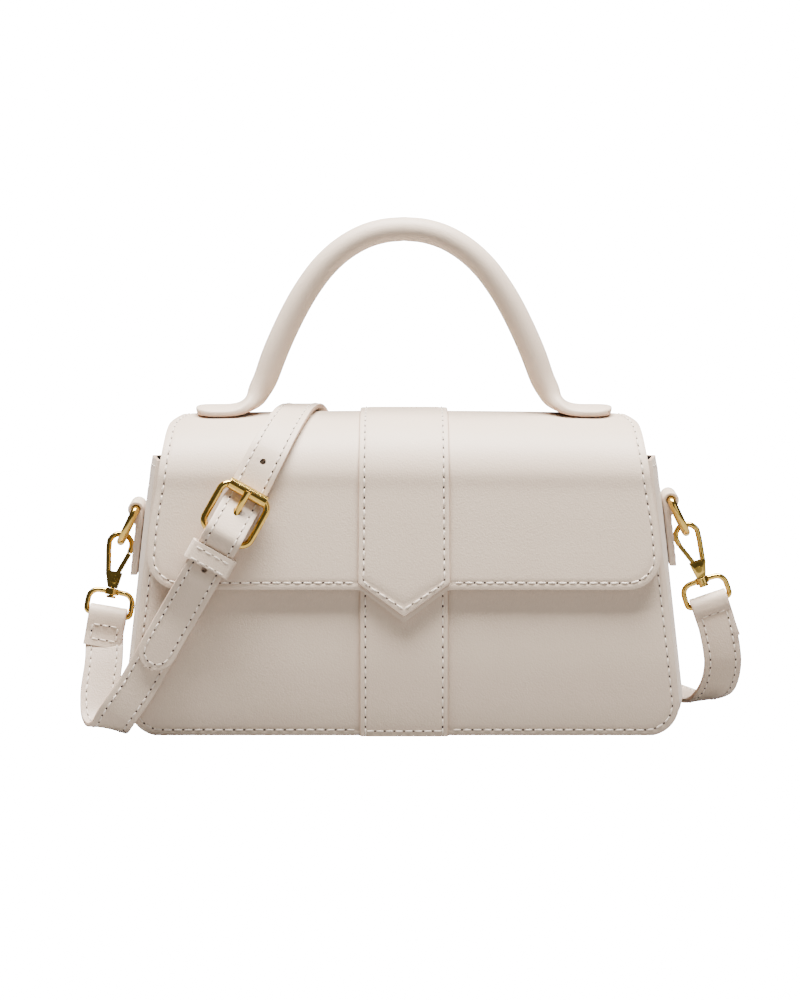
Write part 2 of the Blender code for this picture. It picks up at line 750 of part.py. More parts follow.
def build_tab(name, side, height):
    """A leather strip folded over the D-ring's bar, with both its layers sewn to the gusset."""
    centre = bar_centre(1, height)
    loop = RING_WIRE / 2 + GAP + TAB_LAYER
    low = height - TAB_DROP
    waist = height - 2 * loop
    outline = [(gusset_side(low) + GAP, low), (gusset_side(waist) + GAP, waist)]
    for turn in [math.pi, *spread(math.pi, -math.pi / 6, 9)]:
        outline.append((centre.x + loop * math.cos(turn), centre.z + loop * math.sin(turn)))
    outline.append((gusset_side(waist) + GAP + 2 * TAB_LAYER, waist))
    outline.append((gusset_side(low) + GAP + 2 * TAB_LAYER, low))
    tab = extruded(name, outline, TAB_WIDTH / 2, LEATHER_LOOK)
    bore = cylinder(name + "_bore", RING_WIRE / 2 + GAP, -TAB_WIDTH, TAB_WIDTH, LEATHER_LOOK)
    move(bore, Matrix.Translation(centre) @ Matrix.Rotation(math.pi / 2, 4, "X"))
    cut(tab, bore)
    if side < 0:
        move(tab, Matrix.Scale(-1, 4, (1, 0, 0)))
    return tab


def hang_down(side, height):
    """Direction in which a D-ring hangs, out from the body's leaning side."""
    swing = RING_SWING + side_lean(height)
    return Vector((side * math.sin(swing), 0, -math.cos(swing)))


def build_ring(name, side, height):
    half = RING_WIDTH / 2
    round_off = RING_WIRE * 0.7
    outline = []
    for turn in [-math.pi / 2, *spread(-math.pi / 2, 0, 3)]:
        outline.append((half - round_off + round_off * math.cos(turn), round_off + round_off * math.sin(turn)))
    bow = RING_REACH - half
    for turn in [0.0, *spread(0, math.pi, 10)]:
        outline.append((half * math.cos(turn), bow + half * math.sin(turn)))
    for turn in [math.pi, *spread(math.pi, 1.5 * math.pi, 3)]:
        outline.append((-half + round_off + round_off * math.cos(turn), round_off + round_off * math.sin(turn)))
    down = hang_down(side, height)
    centre = bar_centre(side, height)
    points = [centre + Vector((0, across, 0)) + down * along for across, along in outline]
    return wire(name, drop_repeats(points), RING_WIRE, GOLD_LOOK, closed=True)


def drop_repeats(points):
    kept = []
    for point in points:
        if not kept or (point - kept[-1]).length > 1e-6:
            kept.append(point)
    return kept


def hook_matrix(side, height, tilt, lean):
    """From the hook's own frame, with its rivet at zero and its gate at +X, to where it hangs."""
    seat = bar_centre(side, height) + hang_down(side, height) * RING_REACH
    hang = HOOK_LENGTH - HOOK_WIRE - GAP - RING_WIRE / 2
    place = Matrix.Translation(seat) @ Matrix.Rotation(-side * (tilt + side_lean(height)), 4, "Y")
    place = place @ Matrix.Rotation(-lean, 4, "X")
    if side > 0:
        place = place @ Matrix.Scale(-1, 4, (1, 0, 0))
    return place @ Matrix.Translation((0, 0, -hang))


def build_hook(name, matrix):
    """Pear-shaped wire on a slotted base that holds the gate's pin, with a swivel post under it."""
    radius = (HOOK_WIDTH - HOOK_WIRE) / 2
    centre = HOOK_LENGTH - HOOK_WIDTH / 2
    foot = Vector((-3.1 * MM, 0, 0.6 * MM))
    points = [foot]
    for turn in [math.radians(170), *spread(math.radians(170), math.radians(-14), 11)]:
        points.append(Vector((radius * math.cos(turn), 0, centre + radius * math.sin(turn))))
    nose = Vector((math.sin(GATE_ANGLE), 0, math.cos(GATE_ANGLE))) * (GATE_REACH + 2 * GAP)
    points.append(nose)
    hook = wire(name, points, HOOK_WIRE, GOLD_LOOK)
    base = extruded(
        name + "_base",
        [
            (-3.9 * MM, 3.4 * MM),
            (3.1 * MM, 3.4 * MM),
            (2.1 * MM, -1.8 * MM),
            (1.5 * MM, -BASE_DROP),
            (-1.5 * MM, -BASE_DROP),
            (-2.5 * MM, -1.8 * MM),
        ],
        BASE_DEPTH / 2,
        GOLD_LOOK,
    )
    slot_low = -(EYE_RADIUS + GAP)
    slot = extruded(
        name + "_slot",
        [(slot_low, 3 * HOOK_WIDTH), (slot_low, slot_low), (HOOK_WIDTH, slot_low), (HOOK_WIDTH, 3 * HOOK_WIDTH)],
        GATE_DEPTH / 2 + GAP,
        GOLD_LOOK,
    )
    cut(base, slot)
    turned = Matrix.Rotation(math.pi / 2, 4, "X")
    pin = cylinder(name + "_pin", PIN_RADIUS, -BASE_DEPTH / 2, BASE_DEPTH / 2, GOLD_LOOK, sides=10)
    move(pin, turned)
    join(base, pin)
    for low, high in ((-BASE_DEPTH / 2 - GAP, -BASE_DEPTH / 2 + GAP), (BASE_DEPTH / 2 - GAP, BASE_DEPTH / 2 + GAP)):
        disc = cylinder(name + "_disc", RIVET_RADIUS, low, high, GOLD_LOOK, sides=14)
        move(disc, turned)
        join(base, disc)
    post_low = -(BASE_DROP + BOSS_HEIGHT + 2 * GAP)
    post = cylinder(name + "_post", POST_RADIUS, post_low - GAP, -BASE_DROP + GAP, GOLD_LOOK, sides=12)
    join(base, post)
    flange = cylinder(name + "_flange", FLANGE_RADIUS, post_low - FLANGE_HEIGHT, post_low, GOLD_LOOK, sides=12)
    join(base, flange)
    join(hook, base)
    move(hook, matrix)
    return hook


def build_gate(name, matrix):
    """The sprung lever that closes the hook, with its origin on the rivet's axis."""
    outline = []
    lean = math.pi / 2 - GATE_ANGLE
    for turn in [lean + 0.45 * math.pi, *spread(lean + 0.45 * math.pi, lean + 1.55 * math.pi, 9)]:
        outline.append((EYE_RADIUS * math.cos(turn), EYE_RADIUS * math.sin(turn)))
    along = Vector((math.cos(lean), math.sin(lean)))
    side = Vector((along.y, -along.x))
    for share, half in ((0.3, 0.5), (1.0, 0.5)):
        corner = along * GATE_REACH * share + side * GATE_WIDTH * half
        outline.append((corner.x, corner.y))
    for share, half in ((1.0, -0.5), (0.3, -0.5)):
        corner = along * GATE_REACH * share + side * GATE_WIDTH * half
        outline.append((corner.x, corner.y))
    gate = extruded(name, outline, GATE_DEPTH / 2, GOLD_LOOK)
    bore = cylinder(name + "_bore", PIN_RADIUS + GAP, -BASE_DEPTH, BASE_DEPTH, GOLD_LOOK, sides=10)
    move(bore, Matrix.Rotation(math.pi / 2, 4, "X"))
    cut(gate, bore)
    move(gate, matrix)
    set_origin(gate, matrix.translation)
    return gate


def loop_middle():
    """Height of the loop's top bar in the hook's own frame."""
    return -(BASE_DROP + GAP + BOSS_HEIGHT / 2)


def build_loop(name, matrix):
    """Rounded wire loop for the strap, with a boss that turns on the hook's post."""
    top = loop_middle()
    points = []
    corners = (
        (1, 0, LOOP_TOP_CORNER, 0),
        (-1, 0, LOOP_TOP_CORNER, 90),
        (-1, -1, LOOP_LOW_CORNER, 180),
        (1, -1, LOOP_LOW_CORNER, 270),
    )
    for sx, low, radius, start in corners:
        cx = sx * (LOOP_WIDTH / 2 - radius)
        cz = top + low * LOOP_HEIGHT + (radius if low else -radius)
        for turn in [start, *spread(start, start + 90, 4)]:
            angle = math.radians(turn)
            points.append(Vector((cx + radius * math.cos(angle), 0, cz + radius * math.sin(angle))))
    loop = wire(name, drop_repeats(points), LOOP_WIRE, GOLD_LOOK, closed=True)
    boss = cylinder(name + "_boss", BOSS_RADIUS, top - BOSS_HEIGHT / 2, top + BOSS_HEIGHT / 2, GOLD_LOOK, sides=12)
    join(loop, boss)
    bore = cylinder(name + "_bore", POST_RADIUS + GAP, top - BOSS_HEIGHT, top + BOSS_HEIGHT, GOLD_LOOK, sides=12)
    cut(loop, bore)
    move(loop, matrix)
    return loop


# Strap, buckle and keeper

UP_STRAP = Vector((math.cos(STRAP_SLOPE), 0, math.sin(STRAP_SLOPE)))
ACROSS_STRAP = Vector((math.sin(STRAP_SLOPE), 0, -math.cos(STRAP_SLOPE)))
GATE_ANGLE = math.atan2((HOOK_WIDTH - HOOK_WIRE) / 2 * 0.93, GATE_REACH)
LAYER = STRAP_WALL + GAP
WRAP_RADIUS = BUCKLE_WIRE / 2 + 1.5 * GAP + STRAP_WALL / 2
ROLLER_WRAP = ROLLER_RADIUS + 2 * GAP + STRAP_WALL / 2
FRONT = Vector((0, -1, 0))
BACK = Vector((0, 1, 0))


def flap_front(height):
    """Distance of the flap's outer face from the middle plane."""
    return reach(height) + FLAP_STAND + FLAP_WALL


def beside_hinge(along, depth):
    """Point on the strap's middle line at a length above the hinge bar and a depth in front."""
    point = Vector((HINGE_X, 0, HINGE_HEIGHT)) + UP_STRAP * along
    return Vector((point.x, -depth, point.z))


def height_at(along):
    return HINGE_HEIGHT + along * UP_STRAP.z


def return_depth(along):
    """Depth of the short strap's folded end, which lies over the keeper's back."""
    lower_edge = height_at(along) + ACROSS_STRAP.z * STRAP_WIDTH / 2
    return flap_front(lower_edge) + 2 * GAP + KEEPER_WALL + KEEPER_AIR + STRAP_WALL / 2


def main_depth(along):
    """Depth of the short strap up the front of the bag."""
    if along > -RETURN_LENGTH:
        return return_depth(along) + LAYER
    edge = flap_front(FLAP_EDGE_HEIGHT) + GAP + STRAP_WALL / 2
    start = return_depth(-RETURN_LENGTH) + LAYER
    share = min((-RETURN_LENGTH - along) / RETURN_LENGTH, 1)
    return start + (edge - start) * share


def tail_depth(along):
    return main_depth(along) + LAYER


def hinge_depth():
    return return_depth(0) + WRAP_RADIUS


def roller_depth():
    return flap_front(height_at(BUCKLE_REACH)) + STRAP_LIFT + STRAP_WALL / 2 + ROLLER_WRAP


def loop_fold(matrix, front_is_end):
    """Stations of a strap round a hook's loop, from its front leg over the bar to its back leg."""
    bar = loop_middle() - LOOP_HEIGHT
    radius = LOOP_WIRE / 2 + 1.5 * GAP + STRAP_WALL / 2
    settle = LAYER / 2 + GAP / 2
    front_length = FOLD_LENGTH if front_is_end else FOLD_LENGTH * 0.62
    back_length = FOLD_LENGTH * 0.55 if front_is_end else FOLD_LENGTH * 1.25
    rows = [(-settle, -front_length), (-settle * 1.02, -front_length * 0.6), (-radius * 0.93, -radius * 1.1)]
    rows += [(-radius * math.cos(turn), radius * math.sin(turn)) for turn in [0.0, *spread(0, math.pi, 6)]]
    rows += [(radius * 0.93, -radius * 1.1), (settle * 1.02, -back_length * 0.7), (settle, -back_length)]
    spin = matrix.to_3x3()
    stations = []
    for depth, height in rows:
        point = matrix @ Vector((0, depth, bar + height))
        normal = Vector((0, depth, max(height, 0)))
        stations.append((point, spin @ normal.normalized()))
    return stations


def table_stations(table, height):
    stations = []
    for x, y, z, nx, ny, nz in table:
        point = Vector((x * PANEL_WIDTH / 2, y * HALF_DEPTH, z * height))
        stations.append((point, Vector((nx, ny, nz))))
    return stations


def short_stations(matrix):
    """From the folded end at the left hook, round by the ground and up the front to the buckle."""
    bar = (matrix @ Vector((0, 0, loop_middle() - LOOP_HEIGHT))).z
    stations = loop_fold(matrix, True) + table_stations(LEFT_BEND, bar)
    for share in (-1.15, *FRONT_RUN):
        along = share * TAIL_LENGTH
        stations.append((beside_hinge(along, main_depth(along)), FRONT))
    hinge = hinge_depth()
    for turn in [0.0, *spread(0, math.pi, 6)]:
        point = beside_hinge(WRAP_RADIUS * math.sin(turn), hinge + WRAP_RADIUS * math.cos(turn))
        stations.append((point, FRONT * math.cos(turn) + UP_STRAP * math.sin(turn)))
    for share in (0.3, 0.65, 1.0):
        along = -RETURN_LENGTH * share
        stations.append((beside_hinge(along, return_depth(along)), BACK))
    return stations


def build_strap_short(matrix):
    frames = ribbon_frames(short_stations(matrix))
    strap = ribbon("strap_short", frames, STRAP_WIDTH, STRAP_WALL, LEATHER_LOOK)
    outline = rounded_box(PRONG_SLOT, 3.2 * WRAP_RADIUS, PRONG_SLOT * 0.45)
    slot = extruded("slot", outline, 3 * WRAP_RADIUS, LEATHER_LOOK)
    move(slot, strap_matrix(0.2 * WRAP_RADIUS, hinge_depth()) @ Matrix.Rotation(-math.pi / 2, 4, "X"))
    cut(strap, slot)
    return strap


def under_roller():
    """Depth of the strap's middle line where it passes under the roller."""
    return roller_depth() - ROLLER_WRAP


def long_stations(matrix):
    """From the tail, over the hinge bar, under the roller, over the flap and round to the right hook."""
    stations = []
    for share in FRONT_RUN:
        along = share * TAIL_LENGTH
        stations.append((beside_hinge(along, tail_depth(along)), FRONT))
    over = hinge_depth() + WRAP_RADIUS + LAYER
    stations.append((beside_hinge(-0.4 * WRAP_RADIUS, over), FRONT))
    stations.append((beside_hinge(0.9 * WRAP_RADIUS, over), FRONT + UP_STRAP * 0.2))
    for angle in (34, 18, 0):
        turn = math.radians(angle)
        along = BUCKLE_REACH - ROLLER_WRAP * math.sin(turn)
        depth = roller_depth() - ROLLER_WRAP * math.cos(turn)
        stations.append((beside_hinge(along, depth), FRONT * math.cos(turn) + UP_STRAP * math.sin(turn)))
    start = flap_mark(2, height_at(BUCKLE_REACH))
    run = start - flap_middle
    for share, drift in OVER_RUN:
        x = HINGE_X + BUCKLE_REACH * UP_STRAP.x + run * drift / math.tan(STRAP_TURN)
        point, normal = on_flap(start - run * share, x, FLAP_WALL + STRAP_LIFT + STRAP_WALL / 2)
        stations.append((point, normal))
    return stations + table_stations(BACK_RUN, FLAP_TOP) + loop_fold(matrix, False)


def build_strap_long(matrix):
    frames = ribbon_frames(long_stations(matrix), TIP_ROWS)
    widths = [tip_share(k) for k in range(len(frames))]
    strap = ribbon("strap_long", frames, STRAP_WIDTH, STRAP_WALL, LEATHER_LOOK, widths)
    cut(strap, prong_wire("prong_hole", PRONG_WIRE + 2 * GAP))
    path = Path([point for point, _, _ in frames])
    for share in (-1, 1):
        distance = TAIL_LENGTH + PRONG_HOLE + share * HOLE_PITCH
        if share > 0:
            distance += HOLE_SLACK
        point, direction = path.at(distance)
        near = min(frames, key=lambda frame: (frame[0] - point).length)
        hole = cylinder("hole", HOLE_RADIUS, -2 * STRAP_WALL, 2 * STRAP_WALL, LEATHER_LOOK, sides=12)
        move(hole, Matrix.Translation(point) @ near[2].to_track_quat("Z", "Y").to_matrix().to_4x4())
        cut(strap, hole)
    return strap


def tip_share(k):
    """Share of the strap's width at a row of its rounded tip."""
    if k >= len(TIP_ROWS):
        return 1.0
    inset = 1 - TIP_ROWS[k] / (STRAP_WIDTH / 2)
    return max(math.sqrt(max(1 - inset**2, 0)), 0.3)


def strap_matrix(along, depth):
    """Axes on the strap's front run: X across it, Y up it and Z to the front."""
    point = beside_hinge(along, depth)
    return frame_matrix(point, ACROSS_STRAP, UP_STRAP)


def frame_matrix(point, across, up):
    front = across.cross(up).normalized()
    spin = Matrix((across, up, front)).transposed().to_4x4()
    return Matrix.Translation(point) @ spin


def buckle_axes():
    low = beside_hinge(0, hinge_depth())
    high = beside_hinge(BUCKLE_REACH, roller_depth())
    return frame_matrix(low, ACROSS_STRAP, (high - low).normalized()), (high - low).length


def build_buckle_frame():
    matrix, length = buckle_axes()
    outline = rounded_box(BUCKLE_WIDTH, length, BUCKLE_CORNER, 3)
    points = [matrix @ Vector((x, y + length / 2, 0)) for x, y in outline]
    return wire("buckle_frame", points, BUCKLE_WIRE, GOLD_LOOK, closed=True)


def build_roller():
    matrix, length = buckle_axes()
    half = BUCKLE_WIDTH / 2 - BUCKLE_CORNER
    roller = cylinder("buckle_roller", ROLLER_RADIUS, -half, half, GOLD_LOOK, BUCKLE_WIRE / 2 + GAP)
    along = matrix @ Matrix.Translation((0, length, 0)) @ Matrix.Rotation(math.pi / 2, 4, "Y")
    move(roller, along)
    return roller


def prong_wire(name, diameter):
    """The prong's wire from the hinge bar through the strap's hole to the roller."""
    hinge = hinge_depth()
    rest = roller_depth() + ROLLER_RADIUS + GAP + PRONG_WIRE / 2
    hole = (under_roller() + hinge + WRAP_RADIUS + LAYER) / 2
    points = [
        beside_hinge(SLEEVE_RADIUS * 0.7, hinge + SLEEVE_RADIUS * 0.25),
        beside_hinge(BUCKLE_REACH * 0.35, hinge + SLEEVE_RADIUS * 0.15),
        beside_hinge(BUCKLE_REACH * 0.55, hole + 0.4 * MM),
        beside_hinge(BUCKLE_REACH * 0.82, rest - 0.1 * MM),
        beside_hinge(BUCKLE_REACH * 0.94, rest + 0.1 * MM),
        beside_hinge(BUCKLE_REACH * 1.05, rest + 0.1 * MM),
    ]
    return wire(name, spline(points, 2), diameter, GOLD_LOOK)


def build_prong():
    prong = prong_wire("buckle_prong", PRONG_WIRE)
    matrix, _ = buckle_axes()
    sleeve = cylinder("sleeve", SLEEVE_RADIUS, -SLEEVE_LENGTH / 2, SLEEVE_LENGTH / 2, GOLD_LOOK, sides=12)
    move(sleeve, matrix @ Matrix.Rotation(math.pi / 2, 4, "Y"))
    join(prong, sleeve)
    bore = cylinder("bore", BUCKLE_WIRE / 2 + GAP, -SLEEVE_LENGTH, SLEEVE_LENGTH, GOLD_LOOK, sides=12)
    move(bore, matrix @ Matrix.Rotation(math.pi / 2, 4, "Y"))
    cut(prong, bore)
    return prong


def build_keeper():
    """A leather ring round the folded end, the short strap and the tail."""
    along = -KEEPER_OFFSET
    back = return_depth(along) - STRAP_WALL / 2 - KEEPER_AIR
    front = tail_depth(along) + STRAP_WALL / 2 + KEEPER_AIR
    high, low = along + KEEPER_LENGTH / 2, along - KEEPER_LENGTH / 2
    middle = (back + front) / 2
    lean = beside_hinge(high, middle + main_depth(high) - main_depth(along))
    lean -= beside_hinge(low, middle + main_depth(low) - main_depth(along))
    matrix = frame_matrix(beside_hinge(along, middle), ACROSS_STRAP, lean.normalized())
    width, height = STRAP_WIDTH + 2 * KEEPER_AIR, front - back
    outline = rounded_box(width + 2 * KEEPER_WALL, height + 2 * KEEPER_WALL, KEEPER_WALL * 1.3, 3)
    keeper = extruded("keeper", outline, KEEPER_LENGTH / 2, LEATHER_LOOK)
    inner = extruded("inner", rounded_box(width, height, GAP, 2), KEEPER_LENGTH, LEATHER_LOOK)
    cut(keeper, inner)
    move(keeper, matrix)
    return keeper


clear_scene()
bag = bpy.data.collections.new("crossbody_bag")
bpy.context.scene.collection.children.link(bag)

build_panel("front_panel", -1)
build_panel("back_panel", 1)
build_gusset()
build_flap()
build_flap_band()
build_front_band()
build_handle()
build_tab("tab_left", -1, LEFT_BAR_HEIGHT)
build_tab("tab_right", 1, RIGHT_BAR_HEIGHT)
build_ring("d_ring_left", -1, LEFT_BAR_HEIGHT)
build_ring("d_ring_right", 1, RIGHT_BAR_HEIGHT)
left_hook = hook_matrix(-1, LEFT_BAR_HEIGHT, LEFT_TILT, LEFT_LEAN)
right_hook = hook_matrix(1, RIGHT_BAR_HEIGHT, RIGHT_TILT, RIGHT_LEAN)
for side_name, place_hook in (("left", left_hook), ("right", right_hook)):
    build_hook("hook_" + side_name, place_hook)
    build_gate("gate_" + side_name, place_hook)
    build_loop("hook_loop_" + side_name, place_hook)
build_strap_short(left_hook)
build_strap_long(right_hook)
build_keeper()
build_buckle_frame()
build_roller()
build_prong()
for piece in bag.objects:
    if piece.modifiers:
        apply_modifiers(piece)
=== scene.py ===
"""Dresses the crossbody bag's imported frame: leather, edge paint, stitching and polished hardware.

Metres, +X right as seen from the front, +Y to the back, +Z up, origin under the middle of the bag.
"""

import math

import bmesh
import bpy
from mathutils import Matrix, Vector
from mathutils.kdtree import KDTree


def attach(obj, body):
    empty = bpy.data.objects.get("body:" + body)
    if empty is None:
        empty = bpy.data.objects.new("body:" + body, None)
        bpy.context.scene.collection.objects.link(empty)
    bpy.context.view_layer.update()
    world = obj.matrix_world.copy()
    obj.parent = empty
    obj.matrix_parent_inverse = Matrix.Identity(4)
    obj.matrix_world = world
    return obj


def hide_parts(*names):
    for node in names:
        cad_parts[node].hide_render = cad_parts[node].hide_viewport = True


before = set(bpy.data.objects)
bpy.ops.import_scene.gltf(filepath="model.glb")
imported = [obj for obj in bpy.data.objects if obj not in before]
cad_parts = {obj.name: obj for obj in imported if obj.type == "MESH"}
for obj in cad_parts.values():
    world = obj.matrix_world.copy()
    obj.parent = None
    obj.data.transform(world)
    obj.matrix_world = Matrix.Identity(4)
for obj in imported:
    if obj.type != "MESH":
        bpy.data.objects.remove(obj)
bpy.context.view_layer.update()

# Camera of the photograph
CAMERA_PLACE = (-0.0016, -1.190, 0.270)
CAMERA_PITCH = math.radians(81.4)
CAMERA_LENS = 106.2  # mm
CAMERA_SENSOR = 36  # mm along the long side

MM = 0.001
GAP = 0.3 * MM  # clearance kept between pieces that touch

# Body: front and back panels with a gusset strip between them
PANEL_WIDTH = 220 * MM
PANEL_TOP_WIDTH = 197 * MM
PANEL_HEIGHT = 110 * MM
CORNER_RADIUS = 13 * MM
BODY_DEPTH = 76 * MM
PANEL_WALL = 2.0 * MM
GUSSET_WALL = 1.8 * MM
GUSSET_INSET = 0.5 * MM  # the panels' edges stand this far proud of the gusset
GUSSET_BULGE = 4.4 * MM
GUSSET_OVERLAP = 0.15 * MM  # its edges reach this far into the panels
FOLD_IN_HEIGHT = 15 * MM
FOLD_IN_DEPTH = 5.5 * MM
FOLD_IN_SHARE_FRONT = 0.5  # of the gusset's half depth
FOLD_IN_SHARE_BACK = 0.95

# Flap: sewn to the back panel, over the top and down the front
FLAP_TOP = 126.2 * MM  # height of its outer surface at the middle of the top
FLAP_WIDTH = 205 * MM
FLAP_WALL = 2.2 * MM
FLAP_EDGE_HEIGHT = 59.8 * MM  # the straight lower edge
FLAP_CORNER_RADIUS = 14 * MM
FLAP_STAND = 2.3 * MM  # air between the front panel and the flap
FLAP_CROWN = 1.5 * MM  # the ends of the top lie this much lower than its middle
FLAP_BACK_EDGE = 84 * MM
FLAP_SPRING = 99 * MM  # height at which its front starts to bend over
FLAP_SQUARENESS = 2.2  # 2 bends it as an ellipse, more makes the top flatter
TIP_HALF_WIDTH = 17.4 * MM
TIP_DROP = 13.2 * MM

# Bands down the middle of the flap and of the front panel
BAND_WALL = 1.3 * MM
BAND_WIDTH = 35.4 * MM
BAND_TIP_SETBACK = 2.4 * MM
BAND_SEAM = 2.3 * MM
BAND_TIP_SEAM = 1.9 * MM

# Handle
HANDLE_FOOT_SPAN = 168 * MM
HANDLE_CLEAR = 69 * MM  # free height under its middle
HANDLE_DIAMETER = 10.4 * MM
TONGUE_WIDTH = 20 * MM
TONGUE_WALL = 3.5 * MM

# Side tabs and D-rings
TAB_WIDTH = 15 * MM
TAB_LAYER = 1.4 * MM
TAB_DROP = 27 * MM  # from the D-ring's bar down to the tab's lower end
RING_WIRE = 3.3 * MM
RING_WIDTH = 19.3 * MM  # between the centres of the wire
RING_REACH = 15.8 * MM  # from the bar's centre to the centre of the bow
LEFT_BAR_HEIGHT = 87.2 * MM
RIGHT_BAR_HEIGHT = 91.0 * MM
RING_SWING = math.radians(19.2)  # how far the rings hang out from the body's side

# Snap hooks
HOOK_LENGTH = 20.3 * MM  # from the rivet to the top of the pear
HOOK_WIDTH = 11.6 * MM
HOOK_WIRE = 2.3 * MM
RIVET_RADIUS = 1.35 * MM
PIN_RADIUS = 0.7 * MM
LOOP_WIRE = 2.3 * MM
LOOP_WIDTH = 18.0 * MM  # between the centres of the wire
LOOP_HEIGHT = 9.4 * MM
LOOP_TOP_CORNER = 4.0 * MM
LOOP_LOW_CORNER = 1.6 * MM
BASE_DEPTH = 4.4 * MM  # front to back over the hook's base
BASE_DROP = 3.3 * MM  # from the rivet to the underside of the base
GATE_DEPTH = 2.0 * MM
GATE_REACH = 12.0 * MM
GATE_WIDTH = 1.9 * MM
EYE_RADIUS = 1.5 * MM
BOSS_HEIGHT = 2.6 * MM
BOSS_RADIUS = 2.7 * MM
POST_RADIUS = 0.95 * MM
FLANGE_RADIUS = 1.9 * MM
FLANGE_HEIGHT = 1.0 * MM
LEFT_TILT = math.radians(3.2)  # how far the hooks hang out from the body's side
RIGHT_TILT = math.radians(12.2)
LEFT_LEAN = math.radians(14)  # how far the strap draws them forwards
RIGHT_LEAN = math.radians(4)

# Strap
STRAP_WIDTH = 15.4 * MM
STRAP_WALL = 2.0 * MM
STRAP_SLOPE = math.radians(60.3)  # up the front, from the horizontal
STRAP_TURN = math.radians(68)  # over the flap, from the flap's width
STRAP_LIFT = 1.2 * MM  # air under it where it lies over the flap
STRAP_LONGEST_STEP = 2.5 * MM
STRAP_SHORTEST_STEP = 0.35 * MM
STRAP_TURN_STEP = math.radians(5)
FRONT_RUN = (-1.0, -0.8, -0.6, -0.45, -0.3, -0.2, -0.115)  # shares of the tail's length
TIP_ROWS = (0.0, 0.4 * MM, 1.2 * MM, 2.6 * MM, 4.6 * MM, 7.7 * MM)
HINGE_X = -71.3 * MM
HINGE_HEIGHT = 82.2 * MM
HOLE_PITCH = 25 * MM
HOLE_RADIUS = 1.2 * MM
HOLE_SLACK = 2 * MM  # extra strap taken up by the dip under the roller
PRONG_HOLE = 11 * MM  # from the hinge bar to the hole in use
TAIL_LENGTH = 61 * MM  # from the hinge bar to the end of the tail
RETURN_LENGTH = 18 * MM  # of the short strap folded back behind the hinge bar
FOLD_LENGTH = 13.5 * MM  # of the straps folded back below the hooks' loops

# Buckle and keeper
BUCKLE_WIRE = 2.8 * MM
BUCKLE_REACH = 19.6 * MM  # between the hinge bar and the roller
BUCKLE_WIDTH = 20.4 * MM  # between the centres of the side bars
BUCKLE_CORNER = 1.9 * MM
ROLLER_RADIUS = 2.4 * MM
PRONG_WIRE = 2.7 * MM
PRONG_SLOT = 3.6 * MM
SLEEVE_RADIUS = 2.6 * MM
SLEEVE_LENGTH = 2.8 * MM
KEEPER_LENGTH = 7.8 * MM  # along the strap
KEEPER_WALL = 1.2 * MM
KEEPER_AIR = 0.8 * MM  # between the keeper and the straps inside it
KEEPER_OFFSET = 10.1 * MM  # from the hinge bar to its middle

HALF_DEPTH = BODY_DEPTH / 2

# Side outline of the body
BODY_PROFILE = (
    # height share, depth share
    (0.00, 0.965),
    (0.12, 0.995),
    (0.30, 1.000),
    (0.55, 0.930),
    (0.80, 0.830),
    (1.00, 0.740),
)

# Half width of the flap from its back edge to its front edge
FLAP_OUTLINE = (
    # path share, width share
    (0.00, 0.945),
    (0.25, 0.905),
    (0.38, 0.883),
    (0.45, 0.900),
    (0.50, 0.919),
    (0.55, 0.928),
    (0.60, 0.935),
    (0.70, 0.953),
    (0.84, 0.985),
    (1.00, 1.000),
)

# Right half of the handle, from the end of its tongue to its middle. A share of 0 is the tube's
# diameter and of 1 is the tongue's width or wall.
HANDLE_SECTIONS = (
    # span share, rise share, tongue width share, tongue wall share, squareness
    (1.000, 0.000, -0.35, 1.08, 3.0),
    (0.988, 0.000, 0.35, 1.03, 3.5),
    (0.960, 0.000, 0.80, 1.00, 4.0),
    (0.915, 0.000, 1.00, 1.00, 4.0),
    (0.840, 0.000, 1.00, 1.00, 4.0),
    (0.785, 0.003, 0.92, 0.88, 3.6),
    (0.745, 0.012, 0.66, 0.62, 2.8),
    (0.716, 0.030, 0.30, 0.32, 2.3),
    (0.694, 0.070, 0.08, 0.14, 2.0),
    (0.665, 0.135, 0.00, 0.05, 2.0),
    (0.628, 0.255, 0.00, 0.00, 2.0),
    (0.582, 0.385, 0.00, 0.00, 2.0),
    (0.523, 0.530, 0.00, 0.00, 2.0),
    (0.462, 0.655, 0.00, 0.01, 2.0),
    (0.388, 0.775, 0.00, 0.02, 2.0),
    (0.300, 0.875, 0.00, 0.04, 2.0),
    (0.200, 0.948, 0.00, 0.06, 2.0),
    (0.100, 0.987, 0.00, 0.08, 2.0),
    (0.000, 1.000, 0.00, 0.10, 2.0),
)

# Free bend of the short strap beside the bag, from the left hook down to the front of the body
LEFT_BEND = (
    # half width share, half depth share, share of the loop's height, normal x, y, z
    (-1.108, -0.400, 0.600, 0.00, 0.75, -0.60),
    (-1.119, -0.600, 0.330, -0.05, 0.78, -0.60),
    (-1.112, -0.740, 0.160, -0.15, 0.65, -0.80),
    (-1.092, -0.870, 0.090, -0.22, 0.20, -0.95),
    (-1.068, -0.990, 0.100, -0.22, -0.45, -0.85),
    (-1.043, -1.070, 0.200, -0.10, -0.95, -0.35),
)

# Long strap from the roller over the flap
OVER_RUN = (
    # shares of the way and of the drift from the roller to the flap's middle line
    (0.30, 0.435),
    (0.50, 0.668),
    (0.70, 0.837),
    (0.85, 0.924),
    (1.00, 1.000),
    (1.15, 1.065),
    (1.35, 1.158),
    (1.60, 1.290),
)

